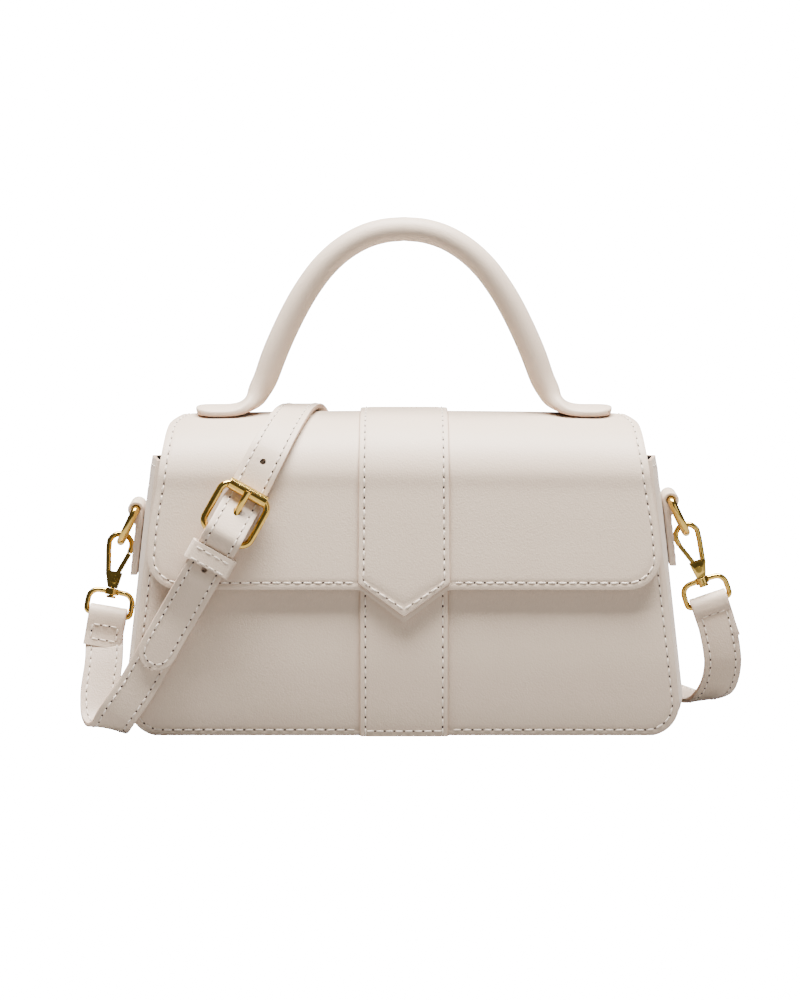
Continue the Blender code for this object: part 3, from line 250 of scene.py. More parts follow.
# Long strap from the back of the flap down to the ground, over itself and round to the right hook
BACK_RUN = (
    # half width share, half depth share, share of the flap's height, normal x, y, z
    (-0.315, 0.930, 0.850, 0.00, 1.00, 0.35),
    (-0.268, 1.030, 0.720, 0.00, 1.00, 0.20),
    (-0.220, 1.120, 0.560, 0.00, 1.00, 0.15),
    (-0.170, 1.220, 0.400, 0.00, 1.00, 0.15),
    (-0.124, 1.380, 0.240, 0.00, 1.00, 0.30),
    (-0.080, 1.720, 0.105, 0.00, 0.70, 0.70),
    (-0.035, 2.250, 0.030, 0.00, 0.20, 1.00),
    (0.000, 2.950, 0.013, 0.00, 0.00, 1.00),
    (0.050, 3.850, 0.013, 0.00, 0.00, 1.00),
    (0.095, 4.650, 0.026, 0.00, -0.20, 1.00),
    (0.130, 5.180, 0.085, 0.00, -0.80, 0.60),
    (0.160, 5.340, 0.170, 0.00, -1.00, 0.00),
    (0.195, 5.200, 0.255, 0.00, -0.65, -0.75),
    (0.250, 4.800, 0.292, 0.00, 0.05, -1.00),
    (0.345, 4.050, 0.238, 0.00, 0.28, -1.00),
    (0.465, 3.250, 0.130, 0.00, 0.25, -1.00),
    (0.590, 2.550, 0.042, 0.00, 0.12, -1.00),
    (0.720, 2.020, 0.014, 0.00, 0.00, -1.00),
    (0.880, 1.700, 0.013, 0.00, 0.00, -1.00),
    (1.010, 1.290, 0.013, 0.00, 0.00, -1.00),
    (1.090, 0.780, 0.016, 0.05, -0.05, -1.00),
    (1.140, 0.290, 0.042, 0.20, -0.50, -0.85),
    (1.178, 0.020, 0.105, 0.15, -1.00, -0.30),
    (1.189, -0.090, 0.190, 0.05, -1.00, 0.00),
)


# Curves through tables

def smooth_value(table, x, column=1):
    """Value of a column at x, on a smooth curve through the table's rows."""
    rows = [(row[0], row[column]) for row in table]
    if x <= rows[0][0]:
        return rows[0][1]
    if x >= rows[-1][0]:
        return rows[-1][1]
    i = max(k for k in range(len(rows) - 1) if rows[k][0] <= x)

    def slope(k):
        low, high = max(k - 1, 0), min(k + 1, len(rows) - 1)
        return (rows[high][1] - rows[low][1]) / (rows[high][0] - rows[low][0])

    x0, y0 = rows[i]
    x1, y1 = rows[i + 1]
    h = x1 - x0
    t = (x - x0) / h
    return (
        (2 * t**3 - 3 * t**2 + 1) * y0
        + (t**3 - 2 * t**2 + t) * h * slope(i)
        + (-2 * t**3 + 3 * t**2) * y1
        + (t**3 - t**2) * h * slope(i + 1)
    )


def spline(points, steps=8):
    """Dense points on a smooth curve through the given vectors, knots spaced by chord length."""
    points = [Vector(p) for p in points]
    first = points[0] * 2 - points[1]
    last = points[-1] * 2 - points[-2]
    points = [first, *points, last]
    dense = []
    for i in range(1, len(points) - 2):
        p0, p1, p2, p3 = points[i - 1 : i + 3]
        t0 = 0.0
        t1 = t0 + max((p1 - p0).length, 1e-9) ** 0.5
        t2 = t1 + max((p2 - p1).length, 1e-9) ** 0.5
        t3 = t2 + max((p3 - p2).length, 1e-9) ** 0.5
        for k in range(steps):
            t = t1 + (t2 - t1) * k / steps
            a1 = p0 * ((t1 - t) / (t1 - t0)) + p1 * ((t - t0) / (t1 - t0))
            a2 = p1 * ((t2 - t) / (t2 - t1)) + p2 * ((t - t1) / (t2 - t1))
            a3 = p2 * ((t3 - t) / (t3 - t2)) + p3 * ((t - t2) / (t3 - t2))
            b1 = a1 * ((t2 - t) / (t2 - t0)) + a2 * ((t - t0) / (t2 - t0))
            b2 = a2 * ((t3 - t) / (t3 - t1)) + a3 * ((t - t1) / (t3 - t1))
            dense.append(b1 * ((t2 - t) / (t2 - t1)) + b2 * ((t - t1) / (t2 - t1)))
    dense.append(points[-2])
    return dense


def spread(low, high, count):
    """Evenly spaced values after low up to and with high."""
    return [low + (high - low) * k / count for k in range(1, count + 1)]


def ladder(low, high, count):
    """Evenly spaced values from low to high, with both ends."""
    return [low, *spread(low, high, count)]


def arc(x, y, radius, start, stop, steps):
    """Points on an arc round (x, y), with both ends."""
    return [(x + radius * math.cos(turn), y + radius * math.sin(turn)) for turn in ladder(start, stop, steps)]


class Path:
    """A polyline that is walked by length."""

    def __init__(self, points):
        self.points = points
        self.marks = [0.0]
        for a, b in zip(points, points[1:]):
            self.marks.append(self.marks[-1] + (b - a).length)
        self.length = self.marks[-1]

    def section(self, distance):
        """Number of the stretch between two points that a distance falls in."""
        i = 0
        while i < len(self.marks) - 2 and self.marks[i + 1] < distance:
            i += 1
        return i

    def at(self, distance):
        """(point, direction) at a distance from the start."""
        distance = min(max(distance, 0.0), self.length)
        i = self.section(distance)
        span = max(self.marks[i + 1] - self.marks[i], 1e-12)
        share = (distance - self.marks[i]) / span
        point = self.points[i].lerp(self.points[i + 1], share)
        low = self.points[max(i - 1, 0)]
        high = self.points[min(i + 2, len(self.points) - 1)]
        return point, (high - low).normalized()


# Looks

LEATHER_GRAIN = 0.28
BACK_GRAIN = 0.40
LEATHER_TINT = (0.600, 0.474, 0.366)
LEATHER_SHADE = (0.565, 0.438, 0.332)
EDGE_TINT = (0.450, 0.315, 0.225)
BACK_TINT = (0.500, 0.385, 0.295)
BACK_SHADE = (0.455, 0.345, 0.260)
THREAD_TINT = (0.78, 0.665, 0.555)
# painted shade: near-black colour of the discs that stand for the shade inside needle holes
HOLE_SHADE_TINT = (0.045, 0.028, 0.020)
GOLD_TINT = (0.76, 0.50, 0.11)
# near-black colour of the panels' and gusset's faces that look into the compartment; no separate lining is
# built
INSIDE_DARK_TINT = (0.10, 0.085, 0.075)


def new_material(name, **sockets):
    """(material, node tree, shader), with plain values set on the shader's sockets."""
    made = bpy.data.materials.new(name)
    made.use_nodes = True
    shader = made.node_tree.nodes["Principled BSDF"]
    for key, value in sockets.items():
        shader.inputs[key.replace("_", " ")].default_value = value
    return made, made.node_tree, shader


def add_bump(tree, shader, height, strength, distance=0.0002):
    bump = add_node(tree, "ShaderNodeBump", {"Strength": strength, "Distance": distance, "Height": height})
    tree.links.new(bump.outputs["Normal"], shader.inputs["Normal"])


def add_gloss(tree, shader, pattern, low, high):
    rough = add_node(tree, "ShaderNodeMapRange", {"Value": pattern, "To Min": low, "To Max": high})
    tree.links.new(rough.outputs["Result"], shader.inputs["Roughness"])


def mottled(name, dark, light, kind, pattern, **sockets):
    """A material that drifts between two tints. Gives (material, tree, shader, place, pattern)."""
    made, tree, shader = new_material(name, **sockets)
    place = add_node(tree, "ShaderNodeTexCoord").outputs["Object"]
    drift = add_node(tree, "ShaderNodeTex" + kind, {"Vector": place, **pattern}).outputs["Fac"]
    tints = {"Factor": drift, "A": (*dark, 1), "B": (*light, 1)}
    mix = add_node(tree, "ShaderNodeMix", tints, data_type="RGBA")
    tree.links.new(mix.outputs["Result"], shader.inputs["Base Color"])
    return made, tree, shader, place, drift


def shaded(tint, share):
    return [min(share * value, 1) for value in tint]


def add_node(tree, kind, inputs=(), **settings):
    made = tree.nodes.new(kind)
    for key, value in settings.items():
        setattr(made, key, value)
    for key, value in dict(inputs).items():
        if isinstance(value, bpy.types.NodeSocket):
            tree.links.new(value, made.inputs[key])
        else:
            made.inputs[key].default_value = value
    return made


def leather_material(name, light, dark, grain):
    """Smooth finished leather: cloudy colour, a fine pebbled grain and an uneven sheen."""
    made, tree, shader, place, _ = mottled(
        name, dark, light, "Noise", {"Scale": 28.0, "Detail": 4.0},
        Specular_IOR_Level=0.42, Sheen_Weight=0.12, Sheen_Roughness=0.5,
    )
    pebble = add_node(tree, "ShaderNodeTexVoronoi", {"Vector": place, "Scale": 1500.0}).outputs["Distance"]
    pores = {"Vector": place, "Scale": 1100.0, "Detail": 5.0}
    fine = add_node(tree, "ShaderNodeTexNoise", pores).outputs["Fac"]
    height = add_node(tree, "ShaderNodeMath", {0: pebble, 1: 0.6, 2: fine}, operation="MULTIPLY_ADD")
    add_bump(tree, shader, height.outputs["Value"], grain, 0.00025)
    add_gloss(tree, shader, fine, 0.42, 0.60)
    return made


def edge_material():
    """Painted cut edge, slightly glossy and a little uneven."""
    made, tree, shader, _, cloud = mottled(
        "edge_paint", shaded(EDGE_TINT, 0.82), shaded(EDGE_TINT, 1.25), "Noise",
        {"Scale": 160.0, "Detail": 3.0}, Roughness=0.5,
    )
    add_bump(tree, shader, cloud, 0.15)
    return made


def thread_material():
    made, tree, shader, _, ply = mottled(
        "thread", shaded(THREAD_TINT, 0.86), THREAD_TINT, "Wave",
        {"Scale": 900.0, "Distortion": 2.0}, Roughness=0.62,
    )
    add_bump(tree, shader, ply, 0.4)
    return made


def dark_material(name, tint):
    return mottled(name, shaded(tint, 0.7), tint, "Noise", {"Scale": 500.0, "Detail": 3.0}, Roughness=0.8)[0]


def gold_material():
    """Polished gold-coloured plating with faint polishing marks."""
    made, tree, shader, _, haze = mottled(
        "gold_plating", shaded(GOLD_TINT, 0.9), GOLD_TINT, "Noise",
        {"Scale": 420.0, "Detail": 4.0}, Metallic=1.0,
    )
    add_gloss(tree, shader, haze, 0.10, 0.22)
    return made


LEATHER_LOOK = leather_material("leather", LEATHER_TINT, LEATHER_SHADE, LEATHER_GRAIN)
BACK_LOOK = leather_material("leather_back", BACK_TINT, BACK_SHADE, BACK_GRAIN)
GOLD_LOOK = gold_material()
EDGE_LOOK = edge_material()
THREAD_LOOK = thread_material()
# painted shade of the needle holes
HOLE_SHADE_LOOK = dark_material("needle_hole_shade", HOLE_SHADE_TINT)
INSIDE_DARK_LOOK = dark_material("inside_dark", INSIDE_DARK_TINT)


# Shape builders

SHARP_ANGLE = 38  # degrees from which an edge is drawn sharp
RIM_ROUNDING = 0.45 * MM
WIRE_RESOLUTION = 5
CYLINDER_SIDES = 40
QUARTER_TURN = Matrix.Rotation(math.pi / 2, 4, "X")
MIRROR = Matrix.Scale(-1, 4, (1, 0, 0))


def finish_object(name, bm, looks):
    """Turns a bmesh into an object in the scene, smooth between its sharp edges."""
    mesh = bpy.data.meshes.new(name)
    bm.to_mesh(mesh)
    bm.free()
    obj = bpy.data.objects.new(name, mesh)
    bpy.context.scene.collection.objects.link(obj)
    for look in looks:
        mesh.materials.append(look)
    mesh.shade_smooth()
    mesh.set_sharp_from_angle(angle=math.radians(SHARP_ANGLE))
    return obj


def soften(obj, width, segments=2, angle=40, look=-1):
    """Rounds the sharp edges of a piece, and can give the rounding one of its materials."""
    bevel = obj.modifiers.new("rounded_edges", "BEVEL")
    bevel.material = look
    bevel.width = width
    bevel.segments = segments
    bevel.limit_method = "ANGLE"
    bevel.angle_limit = math.radians(angle)
    bevel.harden_normals = False
    return obj


def join_rings(bm, rings):
    """Faces between rings of vertices with the same number each, and a flat end at both sides."""
    count = len(rings[0])
    for ring, following in zip(rings, rings[1:]):
        for i in range(count):
            j = (i + 1) % count
            bm.faces.new((ring[i], ring[j], following[j], following[i]))
    bm.faces.new(list(reversed(rings[0])))
    bm.faces.new(rings[-1])


def loft(name, sections, looks):
    """A closed skin through rings with the same number of points, with flat ends."""
    bm = bmesh.new()
    join_rings(bm, [[bm.verts.new(p) for p in section] for section in sections])
    bmesh.ops.recalc_face_normals(bm, faces=bm.faces)
    return finish_object(name, bm, looks)


def skin(name, rows, columns, place, wall):
    """A leather wall on a fine grid, with painted edges.

    place gives an inner point, its outward normal and how far the outer face is pressed in there.
    """
    bm = bmesh.new()
    outer, inner = [], []
    for row in rows:
        spots = [place(row, column) for column in columns]
        outer.append([bm.verts.new(p + n * (wall - press)) for p, n, press in spots])
        inner.append([bm.verts.new(p) for p, _, _ in spots])
    last_row, last_column = len(rows) - 1, len(columns) - 1
    for i in range(last_row):
        for j in range(last_column):
            bm.faces.new((outer[i][j], outer[i][j + 1], outer[i + 1][j + 1], outer[i + 1][j]))
            bm.faces.new((inner[i][j], inner[i + 1][j], inner[i + 1][j + 1], inner[i][j + 1]))
    rim = [(0, j) for j in range(last_column)] + [(i, last_column) for i in range(last_row)]
    rim += [(last_row, j) for j in range(last_column, 0, -1)] + [(i, 0) for i in range(last_row, 0, -1)]
    for (i, j), (k, m) in zip(rim, rim[1:] + rim[:1]):
        bm.faces.new((outer[i][j], inner[i][j], inner[k][m], outer[k][m])).material_index = 1
    bmesh.ops.recalc_face_normals(bm, faces=bm.faces)
    return soften(finish_object(name, bm, (LEATHER_LOOK, EDGE_LOOK)), RIM_ROUNDING, 3, 50, 1)


def ribbon(name, frames, widths=None):
    """A strap with rounded, painted edges along the frames; widths holds a share for each frame."""
    corner = STRAP_WALL * 0.3
    sections = []
    for k, (point, across, normal) in enumerate(frames):
        half = STRAP_WIDTH / 2 * (widths[k] if widths else 1.0)
        ring = []
        for sx, sz, turn in ((1, 1, 0), (-1, 1, 90), (-1, -1, 180), (1, -1, 270)):
            for angle in (0, 45, 90):
                a = math.radians(turn + angle)
                x = sx * (half - corner) + corner * math.cos(a)
                z = sz * (STRAP_WALL / 2 - corner) + corner * math.sin(a)
                ring.append(point + across * x + normal * z)
            for side, step in SEAM_DIP if turn == 0 else ():
                sink = 0 if step else SEAM_DIP_DEPTH
                x = side * (half - STITCH_INSET - step * SEAM_DIP_HALF_WIDTH)
                ring.append(point + across * x + normal * (STRAP_WALL / 2 - sink))
        sections.append(ring)
    strap = loft(name, sections, (LEATHER_LOOK, EDGE_LOOK, BACK_LOOK))
    paint_sides(strap, frames)
    return strap


def paint_sides(strap, frames):
    """Gives the strap's edges their paint and its underside the rougher leather."""
    tree = KDTree(len(frames))
    for i, frame_at in enumerate(frames):
        tree.insert(frame_at[0], i)
    tree.balance()
    for face in strap.data.polygons:
        facing = face.normal.dot(frames[tree.find(face.center)[1]][2])
        if abs(facing) < 0.5:
            face.material_index = 1
        elif facing < 0:
            face.material_index = 2


def even_shading(obj):
    """Keeps flat faces evenly shaded round the holes cut through them."""
    weighted = obj.modifiers.new("even_shading", "WEIGHTED_NORMAL")
    weighted.keep_sharp = True
    return obj


def wire(name, points, diameter, closed=False):
    """A round gold wire through the points, as a mesh with welded ends."""
    curve = bpy.data.curves.new(name, "CURVE")
    curve.dimensions = "3D"
    curve.bevel_depth = diameter / 2
    curve.bevel_resolution = WIRE_RESOLUTION
    curve.use_fill_caps = True
    dense = round_points(points, closed)
    line = curve.splines.new("POLY")
    line.points.add(len(dense) - 1)
    for slot, point in zip(line.points, dense):
        slot.co = (*point, 1)
    line.use_cyclic_u = closed
    temporary = bpy.data.objects.new(name + "_curve", curve)
    bpy.context.scene.collection.objects.link(temporary)
    graph = bpy.context.evaluated_depsgraph_get()
    bm = bmesh.new()
    bm.from_mesh(bpy.data.meshes.new_from_object(temporary.evaluated_get(graph)))
    bpy.data.objects.remove(temporary, do_unlink=True)
    bmesh.ops.remove_doubles(bm, verts=bm.verts, dist=1e-6)
    bmesh.ops.recalc_face_normals(bm, faces=bm.faces)
    return finish_object(name, bm, (GOLD_LOOK,))


def round_points(points, closed):
    """Finer points between those of a wire, on a smooth curve through them."""
    if not closed:
        return spline(points, 3)
    wrapped = [points[-2], points[-1], *points, points[0], points[1]]
    return drop_repeats(spline(wrapped, 3)[6 : 6 + 3 * len(points)])


def extruded(name, outline, half_thickness, look):
    """A flat outline in X and Z, extruded along Y to both sides of zero."""
    sections = [[Vector((x, side * half_thickness, z)) for x, z in outline] for side in (-1, 1)]
    return loft(name, sections, (look,))


# Stitching

STITCH_INSET = 2.5 * MM
SEAM_INSET = 2.8 * MM
THREAD_WIDTH = 0.70 * MM
SEAM_PITCH = 4.1 * MM
STRAP_PITCH = 3.6 * MM
THREAD_SINK = 0.05 * MM  # how deep threads lie in the straps
SEAM_SINK = 0.18 * MM  # and in the body's pressed seams
SEAM_GROOVE = 0.28 * MM
SEAM_DIP_DEPTH = 0.12 * MM  # of the shallow grooves along the straps
SEAM_DIP_HALF_WIDTH = 0.8 * MM
SEAM_DIP = ((1, -1), (1, 0), (1, 1), (-1, 1), (-1, 0), (-1, -1))  # side, and place across the groove
HOLE_LENGTH = 0.46 * MM  # half sizes of a needle hole
HOLE_BREADTH = 0.34 * MM
THREAD_SECTIONS = (
    # share of its length, lift and size as shares of its width
    (0, -0.32, 0.45),
    (0.14, 0.02, 0.9),
    (0.5, 0.12, 1.0),
    (0.86, 0.02, 0.9),
    (1, -0.32, 0.45),
)


def stitches(name, lines, pitch):
    """Rows of short threads between needle holes drawn as small discs of painted shade, along lines of
    (point, normal).
    """
    bm = bmesh.new()
    for line in lines:
        path = Path([point for point, _ in line])
        count = max(round(path.length / pitch), 1)
        for k in range(count):
            start, middle, end, hole = [path.length * (k + share) / count for share in (0.12, 0.5, 0.88, 1)]
            i = path.section(middle)
            normal = line[i][1].lerp(line[i + 1][1], 0.5).normalized()
            add_thread(bm, path.at(start)[0], path.at(end)[0], normal)
            if k < count - 1:
                add_hole_shade(bm, *path.at(hole), normal)
    return finish_object(name, bm, (THREAD_LOOK, HOLE_SHADE_LOOK))


def ring_of(bm, centre, first, second, count):
    """Vertices on an ellipse round a centre, with its half axes as vectors."""
    turns = [2 * math.pi * i / count for i in range(count)]
    return [bm.verts.new(centre + first * math.cos(turn) + second * math.sin(turn)) for turn in turns]


def add_thread(bm, start, end, normal):
    """One stitch, a slightly arched thread whose ends dive into the leather."""
    along = end - start
    side = along.cross(normal).normalized()
    rings = []
    for share, lift, size in THREAD_SECTIONS:
        centre = start + along * share + normal * (lift * THREAD_WIDTH)
        radius = THREAD_WIDTH / 2 * size
        rings.append(ring_of(bm, centre, side * radius, normal * radius, 7))
    join_rings(bm, rings)


def add_hole_shade(bm, centre, along, normal):
    """A needle hole, shown as a small disc of painted shade just over the leather."""
    side = along.cross(normal).normalized()
    ring = ring_of(bm, centre + normal * (0.06 * MM), along * HOLE_LENGTH, side * HOLE_BREADTH, 9)
    face = bm.faces.new(ring)
    if face.normal.dot(normal) < 0:
        face.normal_flip()
    face.material_index = 1


def ribbon_frames(stations, first=(0.0,)):
    """(point, across, normal) along a smooth curve through (point, normal) stations.

    The first rows lie at the given distances, and the rest are as far apart as its bends allow.
    """
    path = Path(spline([p for p, _ in stations]))
    normals = spline([n.normalized() for _, n in stations])
    distances = list(first)
    turned = 0.0
    for k in range(1, len(path.marks) - 1):
        before = path.points[k] - path.points[k - 1]
        after = path.points[k + 1] - path.points[k]
        turned += before.angle(after) + normals[k - 1].angle(normals[k]) / 3
        since = path.marks[k] - distances[-1]
        if since > STRAP_SHORTEST_STEP and (turned > STRAP_TURN_STEP or since > STRAP_LONGEST_STEP):
            distances.append(path.marks[k])
            turned = 0.0
    frames = []
    for distance in [*distances, path.length]:
        point, direction = path.at(distance)
        i = path.section(distance)
        share = (distance - path.marks[i]) / max(path.marks[i + 1] - path.marks[i], 1e-12)
        normal = normals[i].lerp(normals[i + 1], min(max(share, 0), 1))
        across = direction.cross(normal).normalized()
        frames.append((point, across, across.cross(direction).normalized()))
    return frames


def cylinder(radius, low, high, look=None, hole=0.0):
    """A gold cylinder or tube along Z from low to high, or one of another look."""
    bm = bmesh.new()
    bmesh.ops.create_cone(
        bm, cap_ends=True, segments=CYLINDER_SIDES, radius1=radius, radius2=radius, depth=high - low
    )
    bmesh.ops.translate(bm, verts=bm.verts, vec=(0, 0, (low + high) / 2))
    obj = finish_object("cylinder", bm, (look or GOLD_LOOK,))
    if hole:
        cut(obj, cylinder(hole, low - MM, high + MM))
    return obj


def apply_modifiers(obj):
    graph = bpy.context.evaluated_depsgraph_get()
    graph.update()
    mesh = bpy.data.meshes.new_from_object(obj.evaluated_get(graph))
    obj.modifiers.clear()
    old = obj.data
    obj.data = mesh
    bpy.data.meshes.remove(old)


def combine(obj, other, operation):
    step = obj.modifiers.new(operation.lower(), "BOOLEAN")
    step.operation = operation
    step.solver = "EXACT"
    step.object = other
    apply_modifiers(obj)
    bpy.data.objects.remove(other, do_unlink=True)


def cut(obj, cutter):
    combine(obj, cutter, "DIFFERENCE")


def join(obj, other):
    combine(obj, other, "UNION")


def move(obj, matrix):
    """Places a mesh by a matrix, turning its faces back if the matrix mirrors."""
    obj.data.transform(matrix)
    if matrix.determinant() < 0:
        obj.data.flip_normals()


def rounded_box(width, height, radius, steps=4):
    """Points of a rounded rectangle centred at zero, as (across, up), running round once."""
    points = []
    for sx, sy, start in ((1, 1, 0), (-1, 1, 0.5), (-1, -1, 1), (1, -1, 1.5)):
        centre = sx * (width / 2 - radius), sy * (height / 2 - radius)
        points += arc(*centre, radius, start * math.pi, (start + 0.5) * math.pi, steps)
    return points


# Body

def reach(height):
    """Distance of the panels' outer faces from the middle plane."""
    return HALF_DEPTH * smooth_value(BODY_PROFILE, height / PANEL_HEIGHT)


def half_width(height):
    """Half width of the panels, without the rounded lower corners."""
    share = min(max((height - CORNER_RADIUS) / (PANEL_HEIGHT - CORNER_RADIUS), 0), 1)
    return (PANEL_WIDTH + (PANEL_TOP_WIDTH - PANEL_WIDTH) * share) / 2


def corner_cut(distance, radius):
    """How far a rounded corner has drawn an edge in, at a distance from the end of the piece."""
    if distance >= radius:
        return 0.0
    return radius - math.sqrt(max(radius**2 - (radius - distance) ** 2, 0))


def gusset_line(side_rows, corner_steps):
    """Outline of the gusset from the top left round to the top right, as (x, z, bulge share)."""
    left = []
    for height in ladder(PANEL_HEIGHT, CORNER_RADIUS, side_rows):
        left.append((-(half_width(height) - GUSSET_INSET), height, 1.0))
    for angle in spread(0, math.pi / 2, corner_steps):
        x = PANEL_WIDTH / 2 - GUSSET_INSET - CORNER_RADIUS * (1 - math.cos(angle))
        left.append((-x, CORNER_RADIUS * (1 - math.sin(angle)), math.cos(angle) ** 2))
    return left + [(0.0, 0.0, 0.0)] + [(-x, z, bulge) for x, z, bulge in reversed(left)]


def gusset_side(height):
    """Outermost x of the gusset at a height."""
    return half_width(height) - GUSSET_INSET + GUSSET_BULGE


def side_lean(height):
    """Angle of the body's side from upright, below a D-ring's bar."""
    return math.atan2(gusset_side(height - TAB_DROP) - gusset_side(height), TAB_DROP)


# Flap

def flap_points():
    """Inner outline of the flap from its back edge over the top and down to its tip."""
    turns = spread(0, math.pi / 2, 6)
    share = 2 / FLAP_SQUARENESS
    backwards, forwards = reach(PANEL_HEIGHT) + GAP, -reach(FLAP_SPRING) - FLAP_STAND
    points = [(reach(height) + GAP, height) for height in ladder(FLAP_BACK_EDGE, PANEL_HEIGHT, 3)]
    for reached, spring, bend in ((backwards, PANEL_HEIGHT, turns), (forwards, FLAP_SPRING, turns[-2::-1])):
        for turn in bend:
            across, up = max(math.cos(turn), 0) ** share, math.sin(turn) ** share
            points.append((reached * across, spring + (FLAP_TOP - FLAP_WALL - spring) * up))
    for height in ladder(FLAP_SPRING, FLAP_EDGE_HEIGHT - TIP_DROP, 5):
        points.append((-(reach(height) + FLAP_STAND), height))
    return [Vector((0, y, z)) for y, z in points]


def flap_mark(axis, value):
    """Distance along the flap at which a coordinate of its front half has fallen to a value."""
    points, marks = flap_path.points, flap_path.marks
    for k in range(1, len(points)):
        before, after = points[k - 1][axis], points[k][axis]
        if points[k].y <= 1e-6 and before > value >= after:
            return marks[k - 1] + (marks[k] - marks[k - 1]) * (before - value) / (before - after)
    return flap_path.length


flap_path = Path(spline(flap_points()))
flap_middle = flap_mark(1, 0.0)
flap_edge = flap_mark(2, FLAP_EDGE_HEIGHT)
band_edge = flap_edge - BAND_TIP_SETBACK


def on_flap(distance, x, offset):
    """(point, normal) at an offset outside the flap's inner face."""
    point, direction = flap_path.at(distance)
    normal = Vector((0, direction.z, -direction.y))
    drop = FLAP_CROWN * (2 * x / FLAP_WIDTH) ** 2 * max(normal.z, 0)
    return Vector((x, point.y, point.z - drop)) + normal * offset, normal


def flap_half_width(distance):
    return FLAP_WIDTH / 2 * smooth_value(FLAP_OUTLINE, distance / flap_edge)


def pointed(distance, x, edge, half):
    """A distance along the flap, drawn out towards its pointed tip near the edge."""
    peak = TIP_DROP * max(0, 1 - abs(x) / half)
    return distance + peak * max(0, 1 - (edge - distance) / (FLAP_CORNER_RADIUS * 1.5))


def blend_sizes(low, high, share):
    return low + (high - low) * share


def flap_sag(across):
    """How far the top of the flap has dropped at a distance in front of its middle line."""
    share = min(abs(across) / (reach(FLAP_SPRING) + FLAP_STAND), 1)
    rise = FLAP_TOP - FLAP_WALL - FLAP_SPRING
    return rise * (1 - (1 - share**FLAP_SQUARENESS) ** (1 / FLAP_SQUARENESS))


# Side tabs, D-rings and snap hooks, built for the right and mirrored for the left

PEAR_RADIUS = (HOOK_WIDTH - HOOK_WIRE) / 2
GATE_ANGLE = math.atan2(PEAR_RADIUS * 0.93, GATE_REACH)
HOOK_FOOT = Vector((-2.6 * MM, 0, 1.5 * MM))
HOOK_BASE = ((-3.9, 3.6), (2.9, 3.2), (2.2, -1.6), (1.9, -3.3), (-1.9, -3.3), (-2.6, -1.6))  # mm


def bar_centre(side, height):
    """Centre of a D-ring's straight bar."""
    loop = RING_WIRE / 2 + GAP + TAB_LAYER
    return Vector((side * (gusset_side(height) + GAP + loop), 0, height))


def build_tab(side, height):
    """A leather strip folded over the D-ring's bar, with both its layers sewn to the gusset."""
    centre = bar_centre(1, height)
    loop = RING_WIRE / 2 + GAP + TAB_LAYER
    low, waist = height - TAB_DROP, height - 2 * loop
    outline = [(gusset_side(z) + GAP, z) for z in (low, waist)]
    outline += arc(centre.x, centre.z, loop, math.pi, -math.pi / 6, 9)
    outline += [(gusset_side(z) + GAP + 2 * TAB_LAYER, z) for z in (waist, low)]
    tab = extruded("tab", outline, TAB_WIDTH / 2, LEATHER_LOOK)
    bore = cylinder(RING_WIRE / 2 + GAP, -TAB_WIDTH, TAB_WIDTH, LEATHER_LOOK)
    move(bore, Matrix.Translation(centre) @ QUARTER_TURN)
    cut(tab, bore)
    if side < 0:
        move(tab, MIRROR)
    return tab


def hang_down(side, height):
    """Direction in which a D-ring hangs, out from the body's leaning side."""
    swing = RING_SWING + side_lean(height)
    return Vector((side * math.sin(swing), 0, -math.cos(swing)))


def build_ring(side, height):
    half = RING_WIDTH / 2
    corner = RING_WIRE * 0.7
    outline = arc(half - corner, corner, corner, -math.pi / 2, 0, 3)
    outline += arc(0, RING_REACH - half, half, 0, math.pi, 10)
    outline += arc(corner - half, corner, corner, math.pi, 1.5 * math.pi, 3)
    down = hang_down(side, height)
    centre = bar_centre(side, height)
    points = [centre + Vector((0, across, 0)) + down * along for across, along in outline]
    return wire("ring", drop_repeats(points), RING_WIRE, closed=True)


def drop_repeats(points):
    kept = []
    for point in points:
        if not kept or (point - kept[-1]).length > 1e-6:
            kept.append(point)
    return kept


def hook_matrix(side, height, tilt, lean):
    """From the hook's own frame, with its rivet at zero and its gate at +X, to where it hangs."""
    seat = bar_centre(side, height) + hang_down(side, height) * RING_REACH
    hang = HOOK_LENGTH - HOOK_WIRE - GAP - RING_WIRE / 2
    place = Matrix.Translation(seat) @ Matrix.Rotation(-side * (tilt + side_lean(height)), 4, "Y")
    place = place @ Matrix.Rotation(-lean, 4, "X") @ (MIRROR if side > 0 else Matrix())
    return place @ Matrix.Translation((0, 0, -hang))


def build_hook(matrix):
    """Pear-shaped wire on a slotted base that holds the gate's pin, with a swivel post under it."""
    pear = arc(0, HOOK_LENGTH - HOOK_WIDTH / 2, PEAR_RADIUS, math.radians(170), math.radians(-14), 11)
    points = [HOOK_FOOT, *[Vector((x, 0, z)) for x, z in pear]]
    points.append(Vector((math.sin(GATE_ANGLE), 0, math.cos(GATE_ANGLE))) * (GATE_REACH + 2 * GAP))
    hook = wire("hook", points, HOOK_WIRE)
    base = extruded("base", [(x * MM, z * MM) for x, z in HOOK_BASE], BASE_DEPTH / 2, GOLD_LOOK)
    low, high = -(EYE_RADIUS + GAP), 3 * HOOK_WIDTH
    outline = [(low, high), (low, low), (HOOK_WIDTH, low), (HOOK_WIDTH, high)]
    cut(base, extruded("slot", outline, GATE_DEPTH / 2 + GAP, GOLD_LOOK))
    half = BASE_DEPTH / 2
    for radius, low, high in (
        (PIN_RADIUS, -half, half),
        (RIVET_RADIUS, -half - GAP, -half + GAP),
        (RIVET_RADIUS, half - GAP, half + GAP),
    ):
        pin = cylinder(radius, low, high)
        move(pin, QUARTER_TURN)
        join(base, pin)
    low = -(BASE_DROP + BOSS_HEIGHT + 2 * GAP)
    join(base, cylinder(POST_RADIUS, low - GAP, -BASE_DROP + GAP))
    join(base, cylinder(FLANGE_RADIUS, low - FLANGE_HEIGHT, low))
    join(hook, base)
    move(hook, matrix)
    return hook


